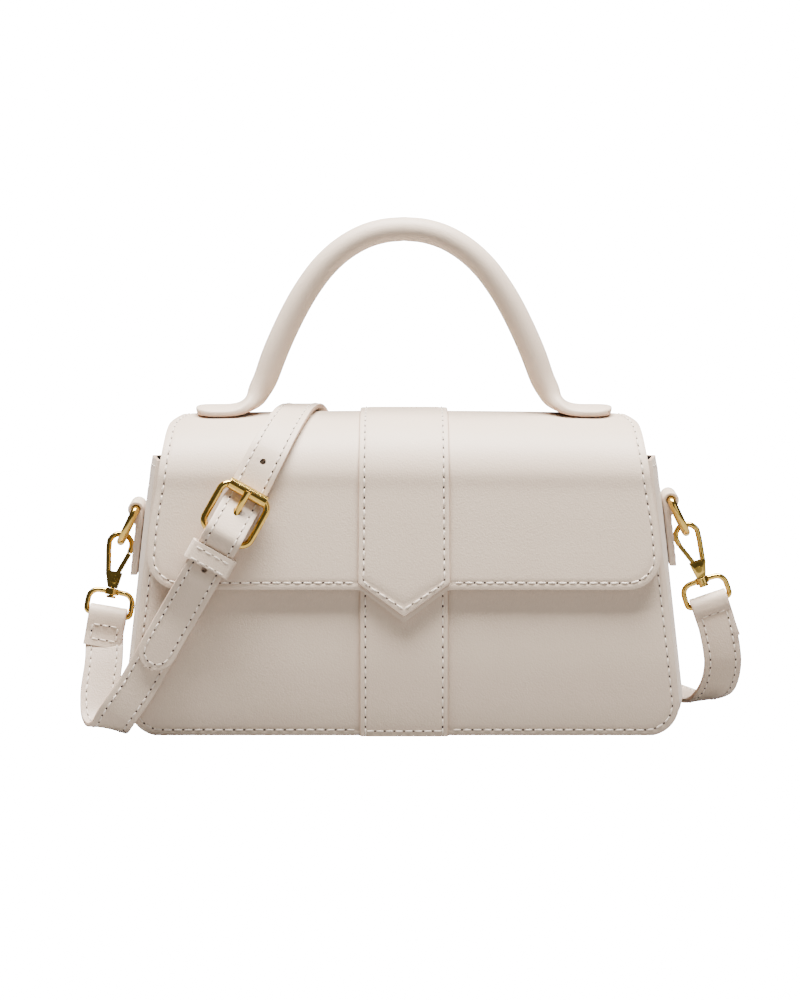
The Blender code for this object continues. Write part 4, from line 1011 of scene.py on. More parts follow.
def build_gate(matrix):
    """The sprung lever that closes the hook, with its origin on the rivet's axis."""
    lean = math.pi / 2 - GATE_ANGLE
    outline = arc(0, 0, EYE_RADIUS, lean + 0.45 * math.pi, lean + 1.55 * math.pi, 9)
    along = Vector((math.cos(lean), math.sin(lean)))
    side = Vector((along.y, -along.x)) * GATE_WIDTH
    for share, half in ((0.3, 0.5), (1.0, 0.5), (1.0, -0.5), (0.3, -0.5)):
        outline.append(tuple(along * (GATE_REACH + 1.5 * GAP) * share + side * half))
    gate = extruded("gate", outline, GATE_DEPTH / 2, GOLD_LOOK)
    bore = cylinder(PIN_RADIUS + GAP, -BASE_DEPTH, BASE_DEPTH)
    move(bore, QUARTER_TURN)
    cut(gate, bore)
    move(gate, matrix)
    gate.data.transform(Matrix.Translation(-matrix.translation))
    gate.location = matrix.translation
    return gate


def loop_middle():
    """Height of the loop's top bar in the hook's own frame."""
    return -(BASE_DROP + GAP + BOSS_HEIGHT / 2)


def build_loop(matrix):
    """Rounded wire loop for the strap, with a boss that turns on the hook's post."""
    top = loop_middle()
    points = []
    for sx, low, radius, start in (
        (1, 0, LOOP_TOP_CORNER, 0),
        (-1, 0, LOOP_TOP_CORNER, 0.5),
        (-1, -1, LOOP_LOW_CORNER, 1),
        (1, -1, LOOP_LOW_CORNER, 1.5),
    ):
        z = top + low * LOOP_HEIGHT + (radius if low else -radius)
        points += arc(sx * (LOOP_WIDTH / 2 - radius), z, radius, start * math.pi, (start + 0.5) * math.pi, 4)
    loop = wire("loop", drop_repeats([Vector((x, 0, z)) for x, z in points]), LOOP_WIRE, closed=True)
    join(loop, cylinder(BOSS_RADIUS, top - BOSS_HEIGHT / 2, top + BOSS_HEIGHT / 2))
    cut(loop, cylinder(POST_RADIUS + GAP, top - BOSS_HEIGHT, top + BOSS_HEIGHT))
    move(loop, matrix)
    return loop


# Strap, buckle and keeper

UP_STRAP = Vector((math.cos(STRAP_SLOPE), 0, math.sin(STRAP_SLOPE)))
ACROSS_STRAP = Vector((math.sin(STRAP_SLOPE), 0, -math.cos(STRAP_SLOPE)))
LAYER = STRAP_WALL + GAP
WRAP_RADIUS = BUCKLE_WIRE / 2 + 1.5 * GAP + STRAP_WALL / 2
ROLLER_WRAP = ROLLER_RADIUS + 2 * GAP + STRAP_WALL / 2
FRONT = Vector((0, -1, 0))
BACK = Vector((0, 1, 0))


def flap_front(height):
    """Distance of the flap's outer face from the middle plane."""
    return reach(height) + FLAP_STAND + FLAP_WALL


def beside_hinge(along, depth):
    """Point on the strap's middle line at a length above the hinge bar and a depth in front."""
    point = Vector((HINGE_X, 0, HINGE_HEIGHT)) + UP_STRAP * along
    return Vector((point.x, -depth, point.z))


def height_at(along):
    return HINGE_HEIGHT + along * UP_STRAP.z


def return_depth(along):
    """Depth of the short strap's folded end, which lies over the keeper's back."""
    lower_edge = height_at(along) + ACROSS_STRAP.z * STRAP_WIDTH / 2
    return flap_front(lower_edge) + 2 * GAP + KEEPER_WALL + KEEPER_AIR + STRAP_WALL / 2


def main_depth(along):
    """Depth of the short strap up the front of the bag."""
    if along > -RETURN_LENGTH:
        return return_depth(along) + LAYER
    edge = flap_front(FLAP_EDGE_HEIGHT) + GAP + STRAP_WALL / 2
    start = return_depth(-RETURN_LENGTH) + LAYER
    share = min((-RETURN_LENGTH - along) / RETURN_LENGTH, 1)
    return start + (edge - start) * share


def tail_depth(along):
    return main_depth(along) + LAYER


def hinge_depth():
    return return_depth(0) + WRAP_RADIUS


def roller_depth():
    return flap_front(height_at(BUCKLE_REACH)) + STRAP_LIFT + STRAP_WALL / 2 + ROLLER_WRAP


def loop_fold(matrix, front_is_end):
    """Stations of a strap round a hook's loop, from its front leg over the bar to its back leg."""
    bar = loop_middle() - LOOP_HEIGHT
    radius = LOOP_WIRE / 2 + 1.5 * GAP + STRAP_WALL / 2
    settle = LAYER / 2 + GAP / 2
    front_length = FOLD_LENGTH if front_is_end else FOLD_LENGTH * 0.62
    back_length = FOLD_LENGTH * 0.55 if front_is_end else FOLD_LENGTH * 1.25
    rows = [(-settle, -front_length), (-settle * 1.02, -front_length * 0.6), (-radius * 0.93, -radius * 1.1)]
    rows += [(-radius * math.cos(turn), radius * math.sin(turn)) for turn in ladder(0, math.pi, 6)]
    rows += [(radius * 0.93, -radius * 1.1), (settle * 1.02, -back_length * 0.7), (settle, -back_length)]
    spin = matrix.to_3x3()
    stations = []
    for depth, height in rows:
        point = matrix @ Vector((0, depth, bar + height))
        normal = Vector((0, depth, max(height, 0)))
        stations.append((point, spin @ normal.normalized()))
    return stations


def table_stations(table, height):
    stations = []
    for x, y, z, nx, ny, nz in table:
        point = Vector((x * PANEL_WIDTH / 2, y * HALF_DEPTH, z * height))
        stations.append((point, Vector((nx, ny, nz))))
    return stations


def short_stations(matrix):
    """From the folded end at the left hook, round by the ground and up the front to the buckle."""
    bar = (matrix @ Vector((0, 0, loop_middle() - LOOP_HEIGHT))).z
    stations = loop_fold(matrix, True) + table_stations(LEFT_BEND, bar)
    for share in (-1.15, *FRONT_RUN):
        along = share * TAIL_LENGTH
        stations.append((beside_hinge(along, main_depth(along)), FRONT))
    for turn in ladder(0, math.pi, 6):
        point = beside_hinge(WRAP_RADIUS * math.sin(turn), hinge_depth() + WRAP_RADIUS * math.cos(turn))
        stations.append((point, FRONT * math.cos(turn) + UP_STRAP * math.sin(turn)))
    for share in (0.3, 0.65, 1.0):
        along = -RETURN_LENGTH * share
        stations.append((beside_hinge(along, return_depth(along)), BACK))
    return stations


def build_strap_short(frames):
    strap = ribbon("strap_short", frames)
    outline = rounded_box(PRONG_SLOT, 3.2 * WRAP_RADIUS, PRONG_SLOT * 0.45)
    slot = extruded("slot", outline, 3 * WRAP_RADIUS, LEATHER_LOOK)
    place = frame_matrix(beside_hinge(0.2 * WRAP_RADIUS, hinge_depth()), ACROSS_STRAP, UP_STRAP)
    move(slot, place @ Matrix.Rotation(-math.pi / 2, 4, "X"))
    cut(strap, slot)
    return even_shading(strap)


def under_roller():
    """Depth of the strap's middle line where it passes under the roller."""
    return roller_depth() - ROLLER_WRAP


def long_stations(matrix):
    """From the tail, over the hinge bar, under the roller, over the flap and round to the right hook."""
    stations = []
    for share in FRONT_RUN:
        along = share * TAIL_LENGTH
        stations.append((beside_hinge(along, tail_depth(along)), FRONT))
    over = hinge_depth() + WRAP_RADIUS + LAYER
    stations.append((beside_hinge(-0.4 * WRAP_RADIUS, over), FRONT))
    stations.append((beside_hinge(0.9 * WRAP_RADIUS, over), FRONT + UP_STRAP * 0.2))
    for angle in (34, 18, 0):
        turn = math.radians(angle)
        along = BUCKLE_REACH - ROLLER_WRAP * math.sin(turn)
        depth = roller_depth() - ROLLER_WRAP * math.cos(turn)
        stations.append((beside_hinge(along, depth), FRONT * math.cos(turn) + UP_STRAP * math.sin(turn)))
    start = flap_mark(2, height_at(BUCKLE_REACH))
    run = start - flap_middle
    for share, drift in OVER_RUN:
        x = HINGE_X + BUCKLE_REACH * UP_STRAP.x + run * drift / math.tan(STRAP_TURN)
        point, normal = on_flap(start - run * share, x, FLAP_WALL + STRAP_LIFT + STRAP_WALL / 2)
        stations.append((point, normal))
    return stations + table_stations(BACK_RUN, FLAP_TOP) + loop_fold(matrix, False)


def build_strap_long(frames):
    strap = ribbon("strap_long", frames, [tip_share(k) for k in range(len(frames))])
    cut(strap, prong_wire(PRONG_WIRE + 2 * GAP))
    path = Path([point for point, _, _ in frames])
    for distance in (PRONG_HOLE - HOLE_PITCH, PRONG_HOLE + HOLE_PITCH + HOLE_SLACK):
        point, _ = path.at(TAIL_LENGTH + distance)
        near = min(frames, key=lambda frame_at: (frame_at[0] - point).length)
        hole = cylinder(HOLE_RADIUS, -2 * STRAP_WALL, 2 * STRAP_WALL, LEATHER_LOOK)
        move(hole, Matrix.Translation(point) @ near[2].to_track_quat("Z", "Y").to_matrix().to_4x4())
        cut(strap, hole)
    return even_shading(strap)


def tip_share(k):
    """Share of the strap's width at a row of its rounded tip."""
    if k >= len(TIP_ROWS):
        return 1.0
    inset = 1 - TIP_ROWS[k] / (STRAP_WIDTH / 2)
    return max(math.sqrt(max(1 - inset**2, 0)), 0.3)


def frame_matrix(point, across, up):
    """Axes at a point: X across, Y up and Z to the front."""
    spin = Matrix((across, up, across.cross(up).normalized())).transposed().to_4x4()
    return Matrix.Translation(point) @ spin


def buckle_axes():
    low = beside_hinge(0, hinge_depth())
    high = beside_hinge(BUCKLE_REACH, roller_depth())
    return frame_matrix(low, ACROSS_STRAP, (high - low).normalized()), (high - low).length


def build_buckle_frame():
    matrix, length = buckle_axes()
    outline = rounded_box(BUCKLE_WIDTH, length, 2.1 * BUCKLE_CORNER, 7)
    points = [matrix @ Vector((x, y + length / 2, 0)) for x, y in outline]
    return wire("buckle_frame", points, BUCKLE_WIRE, closed=True)


def build_roller():
    matrix, length = buckle_axes()
    half = BUCKLE_WIDTH / 2 - BUCKLE_CORNER
    roller = cylinder(ROLLER_RADIUS, -half, half, hole=BUCKLE_WIRE / 2 + GAP)
    move(roller, matrix @ Matrix.Translation((0, length, 0)) @ Matrix.Rotation(math.pi / 2, 4, "Y"))
    return roller


def prong_wire(diameter):
    """The prong's wire from the hinge bar through the strap's hole to the roller."""
    hinge = hinge_depth()
    rest = roller_depth() + ROLLER_RADIUS + GAP + PRONG_WIRE / 2
    hole = (under_roller() + hinge + WRAP_RADIUS + LAYER) / 2
    points = [
        beside_hinge(SLEEVE_RADIUS * 0.7, hinge + SLEEVE_RADIUS * 0.25),
        beside_hinge(BUCKLE_REACH * 0.35, hinge + SLEEVE_RADIUS * 0.15),
        beside_hinge(BUCKLE_REACH * 0.55, hole + 0.4 * MM),
        beside_hinge(BUCKLE_REACH * 0.82, rest - 0.1 * MM),
        beside_hinge(BUCKLE_REACH * 0.94, rest + 0.1 * MM),
        beside_hinge(BUCKLE_REACH * 1.05, rest + 0.1 * MM),
    ]
    return wire("prong", spline(points, 2), diameter)


def build_prong():
    prong = prong_wire(PRONG_WIRE)
    place = buckle_axes()[0] @ Matrix.Rotation(math.pi / 2, 4, "Y")
    sleeve = cylinder(SLEEVE_RADIUS, -SLEEVE_LENGTH / 2, SLEEVE_LENGTH / 2)
    bore = cylinder(BUCKLE_WIRE / 2 + GAP, -SLEEVE_LENGTH, SLEEVE_LENGTH)
    move(sleeve, place)
    move(bore, place)
    join(prong, sleeve)
    cut(prong, bore)
    return prong


def build_keeper():
    """A leather ring round the folded end, the short strap and the tail."""
    along = -KEEPER_OFFSET
    back = return_depth(along) - STRAP_WALL / 2 - KEEPER_AIR
    front = tail_depth(along) + STRAP_WALL / 2 + KEEPER_AIR
    middle = (back + front) / 2
    high, low = [
        beside_hinge(at, middle + main_depth(at) - main_depth(along))
        for at in (along + KEEPER_LENGTH / 2, along - KEEPER_LENGTH / 2)
    ]
    width, height = STRAP_WIDTH + 2 * KEEPER_AIR, front - back
    outline = rounded_box(width + 2 * KEEPER_WALL, height + 2 * KEEPER_WALL, KEEPER_WALL * 1.3, 3)
    keeper = extruded("keeper", outline, KEEPER_LENGTH / 2, LEATHER_LOOK)
    cut(keeper, extruded("inner", rounded_box(width, height, GAP, 2), KEEPER_LENGTH, LEATHER_LOOK))
    move(keeper, frame_matrix(beside_hinge(along, middle), ACROSS_STRAP, (high - low).normalized()))
    return keeper


# Fine leather pieces

LIP_INSETS = [mm * MM for mm in (0, 0.4, 0.9, 1.5, 2.0, 2.4, 2.8, 3.2, 3.6, 4.2, 5.2, 7.0, 9.5, 13.0)]
BAND_INSETS = [mm * MM for mm in (0, 0.4, 0.9, 1.4, 1.8, 2.3, 2.8, 3.3, 4.0, 6.0)]


def lip_columns(insets, count):
    """Columns across a sheet: up to 1 evenly spaced, and from 1 to 2 at the insets of its lip."""
    lip = insets[-1]
    right = spread(0, 1, count) + [2 - inset / lip for inset in reversed(insets[:-1])]
    return [-column for column in reversed(right)] + [0.0] + right


def column_x(column, half, lip):
    size = abs(column)
    inner = max(half - lip, 0)
    x = size * inner if size <= 1 else inner + (size - 1) * (half - inner)
    return math.copysign(x, column)


def corner_inset(dx, dz, radius):
    """Distance from an outline whose corner is rounded, from the distances to its two straight sides."""
    if dx < radius and dz < radius:
        return radius - math.hypot(radius - dx, radius - dz)
    return min(dx, dz)


def seam_press(inset, seam=SEAM_INSET):
    """How far the leather is drawn in at an inset: a groove along the seam and a thinned lip."""
    groove = SEAM_GROOVE * math.exp(-(((inset - seam) / (0.75 * MM)) ** 2))
    lip = 0.35 * MM * max(0, 1 - inset / seam) ** 2
    return groove + lip


def panel_normal(height, side):
    step = 0.5 * MM
    slope = (reach(height + step) - reach(height - step)) / (2 * step)
    return Vector((0, side, -slope)).normalized()


def on_panel(height, x, side, offset):
    """(point, normal) at an offset outside a panel's inner face."""
    normal = panel_normal(height, side)
    return Vector((x, side * (reach(height) - PANEL_WALL), height)) + normal * offset, normal


def fine_panel(side):
    rows = [max(inset, GAP) for inset in LIP_INSETS[:-1]] + ladder(LIP_INSETS[-1], PANEL_HEIGHT, 36)

    def place(height, column):
        edge = half_width(height) - corner_cut(height, CORNER_RADIUS)
        x = column_x(column, edge, LIP_INSETS[-1])
        inset = corner_inset(half_width(height) - abs(x), height, CORNER_RADIUS)
        return *on_panel(height, x, side, 0), seam_press(inset)

    return darken_inside(skin("panel", rows, lip_columns(LIP_INSETS, 26), place, PANEL_WALL))


def darken_inside(sheet):
    """Gives the faces that look into the compartment a near-black colour; no separate lining is built."""
    sheet.data.materials.append(INSIDE_DARK_LOOK)
    middle = Vector((0, 0, PANEL_HEIGHT / 2))
    for face in sheet.data.polygons:
        if face.material_index == 0 and face.normal.dot(middle - face.center) > 0:
            face.material_index = 2
    return sheet


def mirrored(spots, place):
    """Stitch lines through spots (along, x) on the right and through their mirror images."""
    return [[place(along, mirror * x) for along, x in spots] for mirror in (1, -1)]


def panel_seam(side, half_gap=0.0):
    """Stitch lines down both sides of a panel and round its lower corners to the middle of its foot."""
    heights = ladder(PANEL_HEIGHT - 1.5 * MM, CORNER_RADIUS, 30)
    spots = [(height, half_width(height) - SEAM_INSET) for height in heights]
    centre = PANEL_WIDTH / 2 - CORNER_RADIUS
    bend = arc(centre, CORNER_RADIUS, CORNER_RADIUS - SEAM_INSET, 0, -math.pi / 2, 10)[1:]
    spots += [(height, x) for x, height in bend] + [(SEAM_INSET, x) for x in spread(centre, half_gap, 30)]
    return mirrored(spots, lambda height, x: on_panel(height, x, side, PANEL_WALL - SEAM_SINK))


def fold_in_share(column):
    return FOLD_IN_SHARE_FRONT if column < 0 else FOLD_IN_SHARE_BACK


def gusset_swell(height, column):
    """How far the gusset stands out between the panels; its upper end is folded inwards."""
    share = min(max((height - PANEL_HEIGHT + FOLD_IN_HEIGHT) / FOLD_IN_HEIGHT, 0), 1)
    fold = share * share * (3 - 2 * share)
    outward = GUSSET_BULGE * max(1 - column**2, 0) ** 0.75
    pleat = max(1 - abs(column) / fold_in_share(column), 0) ** 0.8
    return outward - (outward + FOLD_IN_DEPTH) * fold * pleat


def fine_gusset():
    line = gusset_line(40, 14)
    columns = [math.sin(angle) for angle in ladder(-math.pi / 2, math.pi / 2, 36)]

    def surface(row, column):
        x, z, bulge = line[row]
        x_before, z_before, _ = line[max(row - 1, 0)]
        x_after, z_after, _ = line[min(row + 1, len(line) - 1)]
        out = Vector((z_after - z_before, 0, x_before - x_after)).normalized()
        y = column * (reach(z) - PANEL_WALL + GUSSET_OVERLAP)
        return Vector((x, y, z)) + out * (gusset_swell(z, column) * bulge), out

    def place(row, column):
        point, out = surface(row, column)
        across = surface(row, min(column + 0.02, 1))[0] - surface(row, max(column - 0.02, -1))[0]
        normal = (out - out.project(across)).normalized() if across.length else out
        press = seam_press(max(PANEL_HEIGHT - line[row][1], 0))
        return point - normal * GUSSET_WALL, normal, press

    return darken_inside(skin("gusset", range(len(line)), columns, place, GUSSET_WALL))


def flap_inset(distance, x):
    dx = flap_half_width(distance) - abs(x)
    return max(corner_inset(dx, flap_edge - distance, FLAP_CORNER_RADIUS), 0)


def fine_flap():
    ends = [flap_edge - inset for inset in reversed(LIP_INSETS)]
    rows = LIP_INSETS + spread(LIP_INSETS[-1], ends[0], 84)[:-1] + ends

    def place(distance, column):
        half = flap_half_width(distance) - corner_cut(flap_edge - distance, FLAP_CORNER_RADIUS)
        x = column_x(column, half, LIP_INSETS[-1])
        point, normal = on_flap(pointed(distance, x, flap_edge, TIP_HALF_WIDTH), x, 0)
        return point, normal, seam_press(min(flap_inset(distance, x), distance))

    return skin("flap", rows, lip_columns(LIP_INSETS, 36), place, FLAP_WALL)


def flap_seams():
    """Stitch lines down both sides of the flap, along its lower edge up to the band, and at its back."""
    last = flap_edge - FLAP_CORNER_RADIUS
    spots = [(along, flap_half_width(along) - SEAM_INSET) for along in ladder(SEAM_INSET, last, 90)]
    centre = flap_half_width(flap_edge) - FLAP_CORNER_RADIUS
    bend = arc(centre, last, FLAP_CORNER_RADIUS - SEAM_INSET, 0, math.pi / 2, 10)[1:]
    spots += [(along, x) for x, along in bend]
    spots += [(flap_edge - SEAM_INSET, x) for x in spread(centre, BAND_WIDTH / 2 + 2 * MM, 20)]
    back = [(SEAM_INSET, x) for x in ladder(flap_half_width(0) - SEAM_INSET, 0, 30)]

    def place(along, x):
        return on_flap(along, x, FLAP_WALL - SEAM_SINK)

    return mirrored(spots, place) + mirrored(back, place)


def on_band(distance, x, offset):
    return on_flap(pointed(distance, x, band_edge, band_half(distance)), x, offset)


def band_half(distance):
    return BAND_WIDTH / 2 * (0.975 + 0.06 * distance / flap_edge)


def fine_flap_band():
    ends = [band_edge - inset for inset in reversed(BAND_INSETS)]
    rows = ladder(BAND_TIP_SETBACK, ends[0], 80)[:-1] + ends

    def place(distance, column):
        half = band_half(distance)
        x = column_x(column, half, BAND_INSETS[-1])
        inset = min(half - abs(x), (band_edge - distance) * 0.85)
        return *on_band(distance, x, FLAP_WALL + GAP), seam_press(inset, BAND_SEAM)

    return skin("flap_band", rows, lip_columns(BAND_INSETS, 8), place, BAND_WALL)


def band_seams():
    last = band_edge - BAND_TIP_SEAM
    spots = [(along, band_half(along) - BAND_SEAM) for along in ladder(BAND_TIP_SETBACK, last, 90)]
    spots += [(last, x) for x in spread(band_half(last) - BAND_SEAM, 0, 10)]
    return mirrored(spots, lambda along, x: on_band(along, x, FLAP_WALL + GAP + BAND_WALL - SEAM_SINK))


def fine_front_band():
    rows = ladder(GAP, PANEL_HEIGHT - CORNER_RADIUS, 50)

    def place(height, column):
        x = column_x(column, BAND_WIDTH / 2, BAND_INSETS[-1])
        press = seam_press(BAND_WIDTH / 2 - abs(x), BAND_SEAM)
        press += 0.2 * MM * math.exp(-(((height - SEAM_INSET) / (0.9 * MM)) ** 2))
        return *on_panel(height, x, -1, PANEL_WALL + GAP), press

    return skin("front_band", rows, lip_columns(BAND_INSETS, 8), place, BAND_WALL)


def front_band_seams():
    lift = PANEL_WALL + GAP + BAND_WALL
    edge = BAND_WIDTH / 2 - BAND_SEAM
    spots = [(height, edge) for height in ladder(GAP, PANEL_HEIGHT - CORNER_RADIUS, 40)]
    foot = [on_panel(SEAM_INSET, share * edge, -1, lift - 0.1 * MM) for share in (-1, -0.5, 0, 0.5, 1)]
    return [*mirrored(spots, lambda height, x: on_panel(height, x, -1, lift - SEAM_SINK)), foot]


def fine_handle():
    table = [(i, *row) for i, row in enumerate(HANDLE_SECTIONS)]
    steps = ladder(0, len(table) - 1, 5 * (len(table) - 1))
    sections = [[smooth_value(table, t, c) for c in range(1, 6)] for t in steps]
    centres = []
    for span, rise, _, wall_share, _ in sections:
        x = span * HANDLE_FOOT_SPAN / 2
        seat = on_flap(flap_middle, x, FLAP_WALL)[0].z
        wall = blend_sizes(HANDLE_DIAMETER, TONGUE_WALL, wall_share)
        centres.append(Vector((x, 0, seat + GAP + wall / 2 + rise * HANDLE_CLEAR)))
    beyond = Vector((-centres[-2].x, 0, centres[-2].z))
    rings = []
    for k, (_, _, width_share, wall_share, squareness) in enumerate(sections):
        direction = ([*centres, beyond][k + 1] - centres[max(k - 1, 0)]).normalized()
        up = Vector((direction.z, 0, -direction.x))
        half_across = blend_sizes(HANDLE_DIAMETER, TONGUE_WIDTH, width_share) / 2
        half_wall = blend_sizes(HANDLE_DIAMETER, TONGUE_WALL, wall_share) / 2
        ring = []
        for i in range(48):
            turn = 2 * math.pi * (i + 0.5) / 48
            c, s = math.cos(turn), math.sin(turn)
            across = math.copysign(abs(c) ** (2 / squareness), c) * half_across
            over = math.copysign(abs(s) ** (2 / squareness), s) * half_wall
            sag = flap_sag(across) * min(max(width_share, 0), 1)
            ring.append(centres[k] + Vector((0, across, -sag)) + up * over)
        rings.append(ring)
    left = [[Vector((-p.x, p.y, p.z)) for p in ring] for ring in reversed(rings[:-1])]
    handle = loft("handle", rings + left, (LEATHER_LOOK, EDGE_LOOK))
    for face in handle.data.polygons:
        if abs(face.center.x) > 0.36 * HANDLE_FOOT_SPAN and face.normal.z < -0.05:
            face.material_index = 1
    return soften(handle, 0.4 * MM, 3, 60)


def strap_seams(frames, stops, rows):
    """Stitch lines along a strap on both faces between pairs of distances, and rows across it."""
    path = Path([frame_at[0] for frame_at in frames])
    half = STRAP_WIDTH / 2 - STITCH_INSET
    lines = []
    for low, high in stops:
        for side, face in ((1, 1), (-1, 1), (1, -1), (-1, -1)):
            line = []
            for mark, (point, across, normal) in zip(path.marks, frames):
                if low <= mark <= high:
                    spot = point + across * (side * half) + normal * (face * (STRAP_WALL / 2 - THREAD_SINK))
                    line.append((spot, normal * face))
            lines.append(line)
    for row in rows:
        k = min(range(len(frames)), key=lambda i: abs(path.marks[i] - row))
        point, across, normal = frames[k]
        base = point + normal * (STRAP_WALL / 2 - THREAD_SINK)
        lines.append([(base + across * (half * share), normal) for share in (-1, 0, 1)])
    return lines


def tip_seam(frames):
    """Stitches round the tail's tip."""
    point, across, normal = frames[len(TIP_ROWS)]
    along = (point - frames[0][0]).normalized()
    centre = frames[0][0] + along * (STRAP_WIDTH / 2) + normal * (STRAP_WALL / 2 - THREAD_SINK)
    bend = arc(0, 0, STRAP_WIDTH / 2 - STITCH_INSET, 0, math.pi, 14)
    return [[(centre + across * x - along * y, normal) for x, y in bend]]


def keeper_seams():
    along = -KEEPER_OFFSET
    front = tail_depth(along) + STRAP_WALL / 2 + KEEPER_AIR + KEEPER_WALL
    lines = []
    for side in (-1, 1):
        at = along + side * (KEEPER_LENGTH / 2 - 1.5 * MM)
        base = beside_hinge(at, front + main_depth(at) - main_depth(along) - 0.02 * MM)
        lines.append([(base + ACROSS_STRAP * (STRAP_WIDTH / 2 * share), FRONT) for share in (-1, 0, 1)])
    return lines


def tab_seams(side, height):
    low = height - TAB_DROP + 1.8 * MM
    half = TAB_WIDTH / 2 - 2 * MM

    def spot(y, z):
        x = gusset_side(z) + GAP + 2 * TAB_LAYER - 0.14 * MM
        return Vector((side * x, y, z)), Vector((side, 0, 0))

    lines = [[spot(y * half, z) for z in ladder(low, height - 6 * MM, 8)] for y in (-1, 1)]
    return [*lines, [spot(y * half, low) for y in (-1, 0, 1)]]


def gusset_hems():
    """Stitches along the gusset's upper ends."""
    height = PANEL_HEIGHT - SEAM_INSET
    half = half_width(height) - GUSSET_INSET
    depth = reach(height) - PANEL_WALL - GAP
    lines = []
    for side in (-1, 1):
        line = []
        for angle in ladder(-1.25, 1.25, 20):
            column = math.sin(angle)
            share = fold_in_share(column)
            rise = (FOLD_IN_DEPTH + 2 * MM) / (share * depth)
            slope = math.copysign(rise, column) if abs(column) < share else 0
            point = Vector((side * (half + gusset_swell(height, column) - 0.15 * MM), column * depth, height))
            line.append((point, Vector((side, -slope, 0)).normalized()))
        lines.append(line)
    return lines


# Dressing

def dress(obj, node, body="bag"):
    """Puts a finer piece in a CAD node's place."""
    obj.name = obj.data.name = node + "_fine"
    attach(obj, body)
    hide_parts(node)


def sew(name, lines, pitch):
    rows = stitches(name, lines, pitch)
    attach(rows, "bag")


dress(fine_panel(-1), "front_panel")
dress(fine_panel(1), "back_panel")
dress(fine_gusset(), "gusset")
dress(fine_flap(), "flap")
dress(fine_flap_band(), "flap_band")
dress(fine_front_band(), "front_band")
dress(fine_handle(), "handle")
left_hook = hook_matrix(-1, LEFT_BAR_HEIGHT, LEFT_TILT, LEFT_LEAN)
right_hook = hook_matrix(1, RIGHT_BAR_HEIGHT, RIGHT_TILT, RIGHT_LEAN)
for side_name, side, height, place_hook in (
    ("left", -1, LEFT_BAR_HEIGHT, left_hook),
    ("right", 1, RIGHT_BAR_HEIGHT, right_hook),
):
    tab = soften(build_tab(side, height), 0.4 * MM, 3)
    dress(tab, "tab_" + side_name)
    sew("tab_" + side_name + "_stitches", tab_seams(side, height), STRAP_PITCH)
    dress(build_ring(side, height), "d_ring_" + side_name)
    dress(soften(build_hook(place_hook), 0.25 * MM), "hook_" + side_name)
    gate = soften(build_gate(place_hook), 0.35 * MM)
    dress(gate, "gate_" + side_name, "gate_" + side_name)
    dress(soften(build_loop(place_hook), 0.2 * MM), "hook_loop_" + side_name)
short_frames = ribbon_frames(short_stations(left_hook))
long_frames = ribbon_frames(long_stations(right_hook), TIP_ROWS)
dress(build_strap_short(short_frames), "strap_short")
dress(build_strap_long(long_frames), "strap_long")
dress(soften(build_keeper(), 0.3 * MM, 3), "keeper")
dress(build_buckle_frame(), "buckle_frame")
dress(soften(build_roller(), 0.25 * MM), "buckle_roller")
dress(soften(build_prong(), 0.3 * MM), "buckle_prong")

sew("front_panel_stitches", panel_seam(-1, BAND_WIDTH / 2 + 1.5 * MM), SEAM_PITCH)
sew("back_panel_stitches", panel_seam(1), SEAM_PITCH)
sew("gusset_stitches", gusset_hems(), SEAM_PITCH)
sew("flap_stitches", flap_seams(), SEAM_PITCH)
sew("flap_band_stitches", band_seams(), SEAM_PITCH)
sew("front_band_stitches", front_band_seams(), SEAM_PITCH)
end = Path([spot[0] for spot in short_frames]).length
box = (STITCH_INSET, FOLD_LENGTH * 0.72)
stops = [box, (FOLD_LENGTH * 2.2, end - RETURN_LENGTH * 0.9)]
sew("strap_short_stitches", strap_seams(short_frames, stops, box), STRAP_PITCH)
end = Path([spot[0] for spot in long_frames]).length
box = (end - FOLD_LENGTH * 0.72, end - STITCH_INSET)
stops = [(STRAP_WIDTH * 0.33, end - FOLD_LENGTH * 2.2), box]
seams = strap_seams(long_frames, stops, (*box, stops[0][1])) + tip_seam(long_frames)
sew("strap_long_stitches", seams, STRAP_PITCH)
sew("keeper_stitches", keeper_seams(), STRAP_PITCH)


# Studio

FLOOR_RADIUS = 1.1
WHITE_STRENGTH = 20.0
KEY_POWER = 124
FILL_POWER = 4.5
WORLD_STRENGTH = 0.09


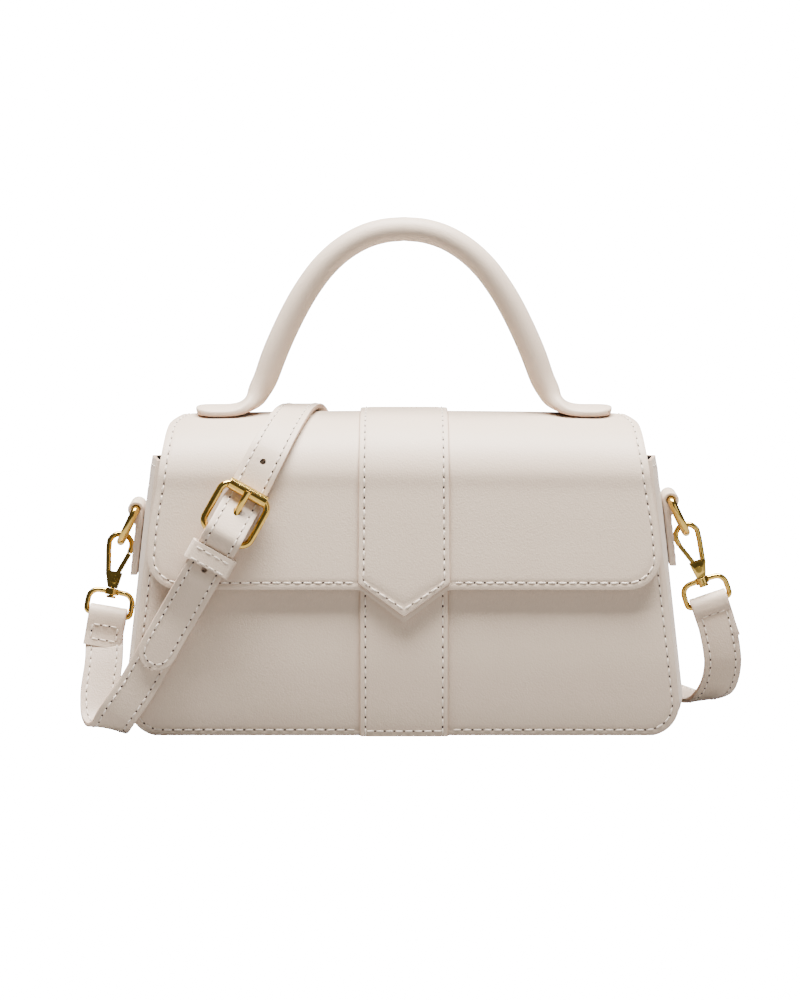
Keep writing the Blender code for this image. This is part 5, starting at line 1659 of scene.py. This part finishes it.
def area_light(name, place, target, width, height, power):
    data = bpy.data.lights.new(name, "AREA")
    data.shape = "RECTANGLE"
    data.size = width
    data.size_y = height
    data.energy = power
    lamp = bpy.data.objects.new(name, data)
    bpy.context.scene.collection.objects.link(lamp)
    lamp.location = place
    lamp.rotation_mode = "QUATERNION"
    lamp.rotation_quaternion = (Vector(target) - Vector(place)).to_track_quat("-Z", "Y")


def camera_white(tree, other, target, strength):
    """Shows plain white to the camera and the other shader to everything else."""
    path = add_node(tree, "ShaderNodeLightPath")
    white = add_node(tree, "ShaderNodeEmission", {"Strength": strength})
    mix = add_node(tree, "ShaderNodeMixShader", {0: path.outputs["Is Camera Ray"]})
    tree.links.new(other.outputs[0], mix.inputs[1])
    tree.links.new(white.outputs[0], mix.inputs[2])
    tree.links.new(mix.outputs[0], target.inputs["Surface"])


def build_floor():
    """A round sheet of white paper under the bag."""
    bm = bmesh.new()
    bmesh.ops.create_circle(bm, cap_ends=True, segments=96, radius=FLOOR_RADIUS)
    made, tree, shader = new_material("floor_paper", Base_Color=(0.22, 0.215, 0.21, 1), Roughness=0.9)
    camera_white(tree, shader, tree.nodes["Material Output"], WHITE_STRENGTH)
    finish_object("floor", bm, (made,))


build_floor()
area_light("key_top", (0.0, -0.13, 1.3), (0, 0.0, 0.08), 1.1, 0.60, KEY_POWER)
area_light("front_fill", (1.2, -1.5, 0.6), (0, 0, 0.06), 0.9, 0.9, FILL_POWER)

world = bpy.data.worlds.new("studio")
bpy.context.scene.world = world
world.use_nodes = True
background = world.node_tree.nodes["Background"]
background.inputs["Color"].default_value = (1, 0.98, 0.96, 1)
background.inputs["Strength"].default_value = WORLD_STRENGTH
camera_white(world.node_tree, background, world.node_tree.nodes["World Output"], WHITE_STRENGTH)

camera_data = bpy.data.cameras.new("camera")
camera_data.lens = CAMERA_LENS
camera_data.sensor_width = CAMERA_SENSOR
camera = bpy.data.objects.new("camera", camera_data)
bpy.context.scene.collection.objects.link(camera)
camera.location = CAMERA_PLACE
camera.rotation_euler = (CAMERA_PITCH, 0, 0)
bpy.context.scene.camera = camera
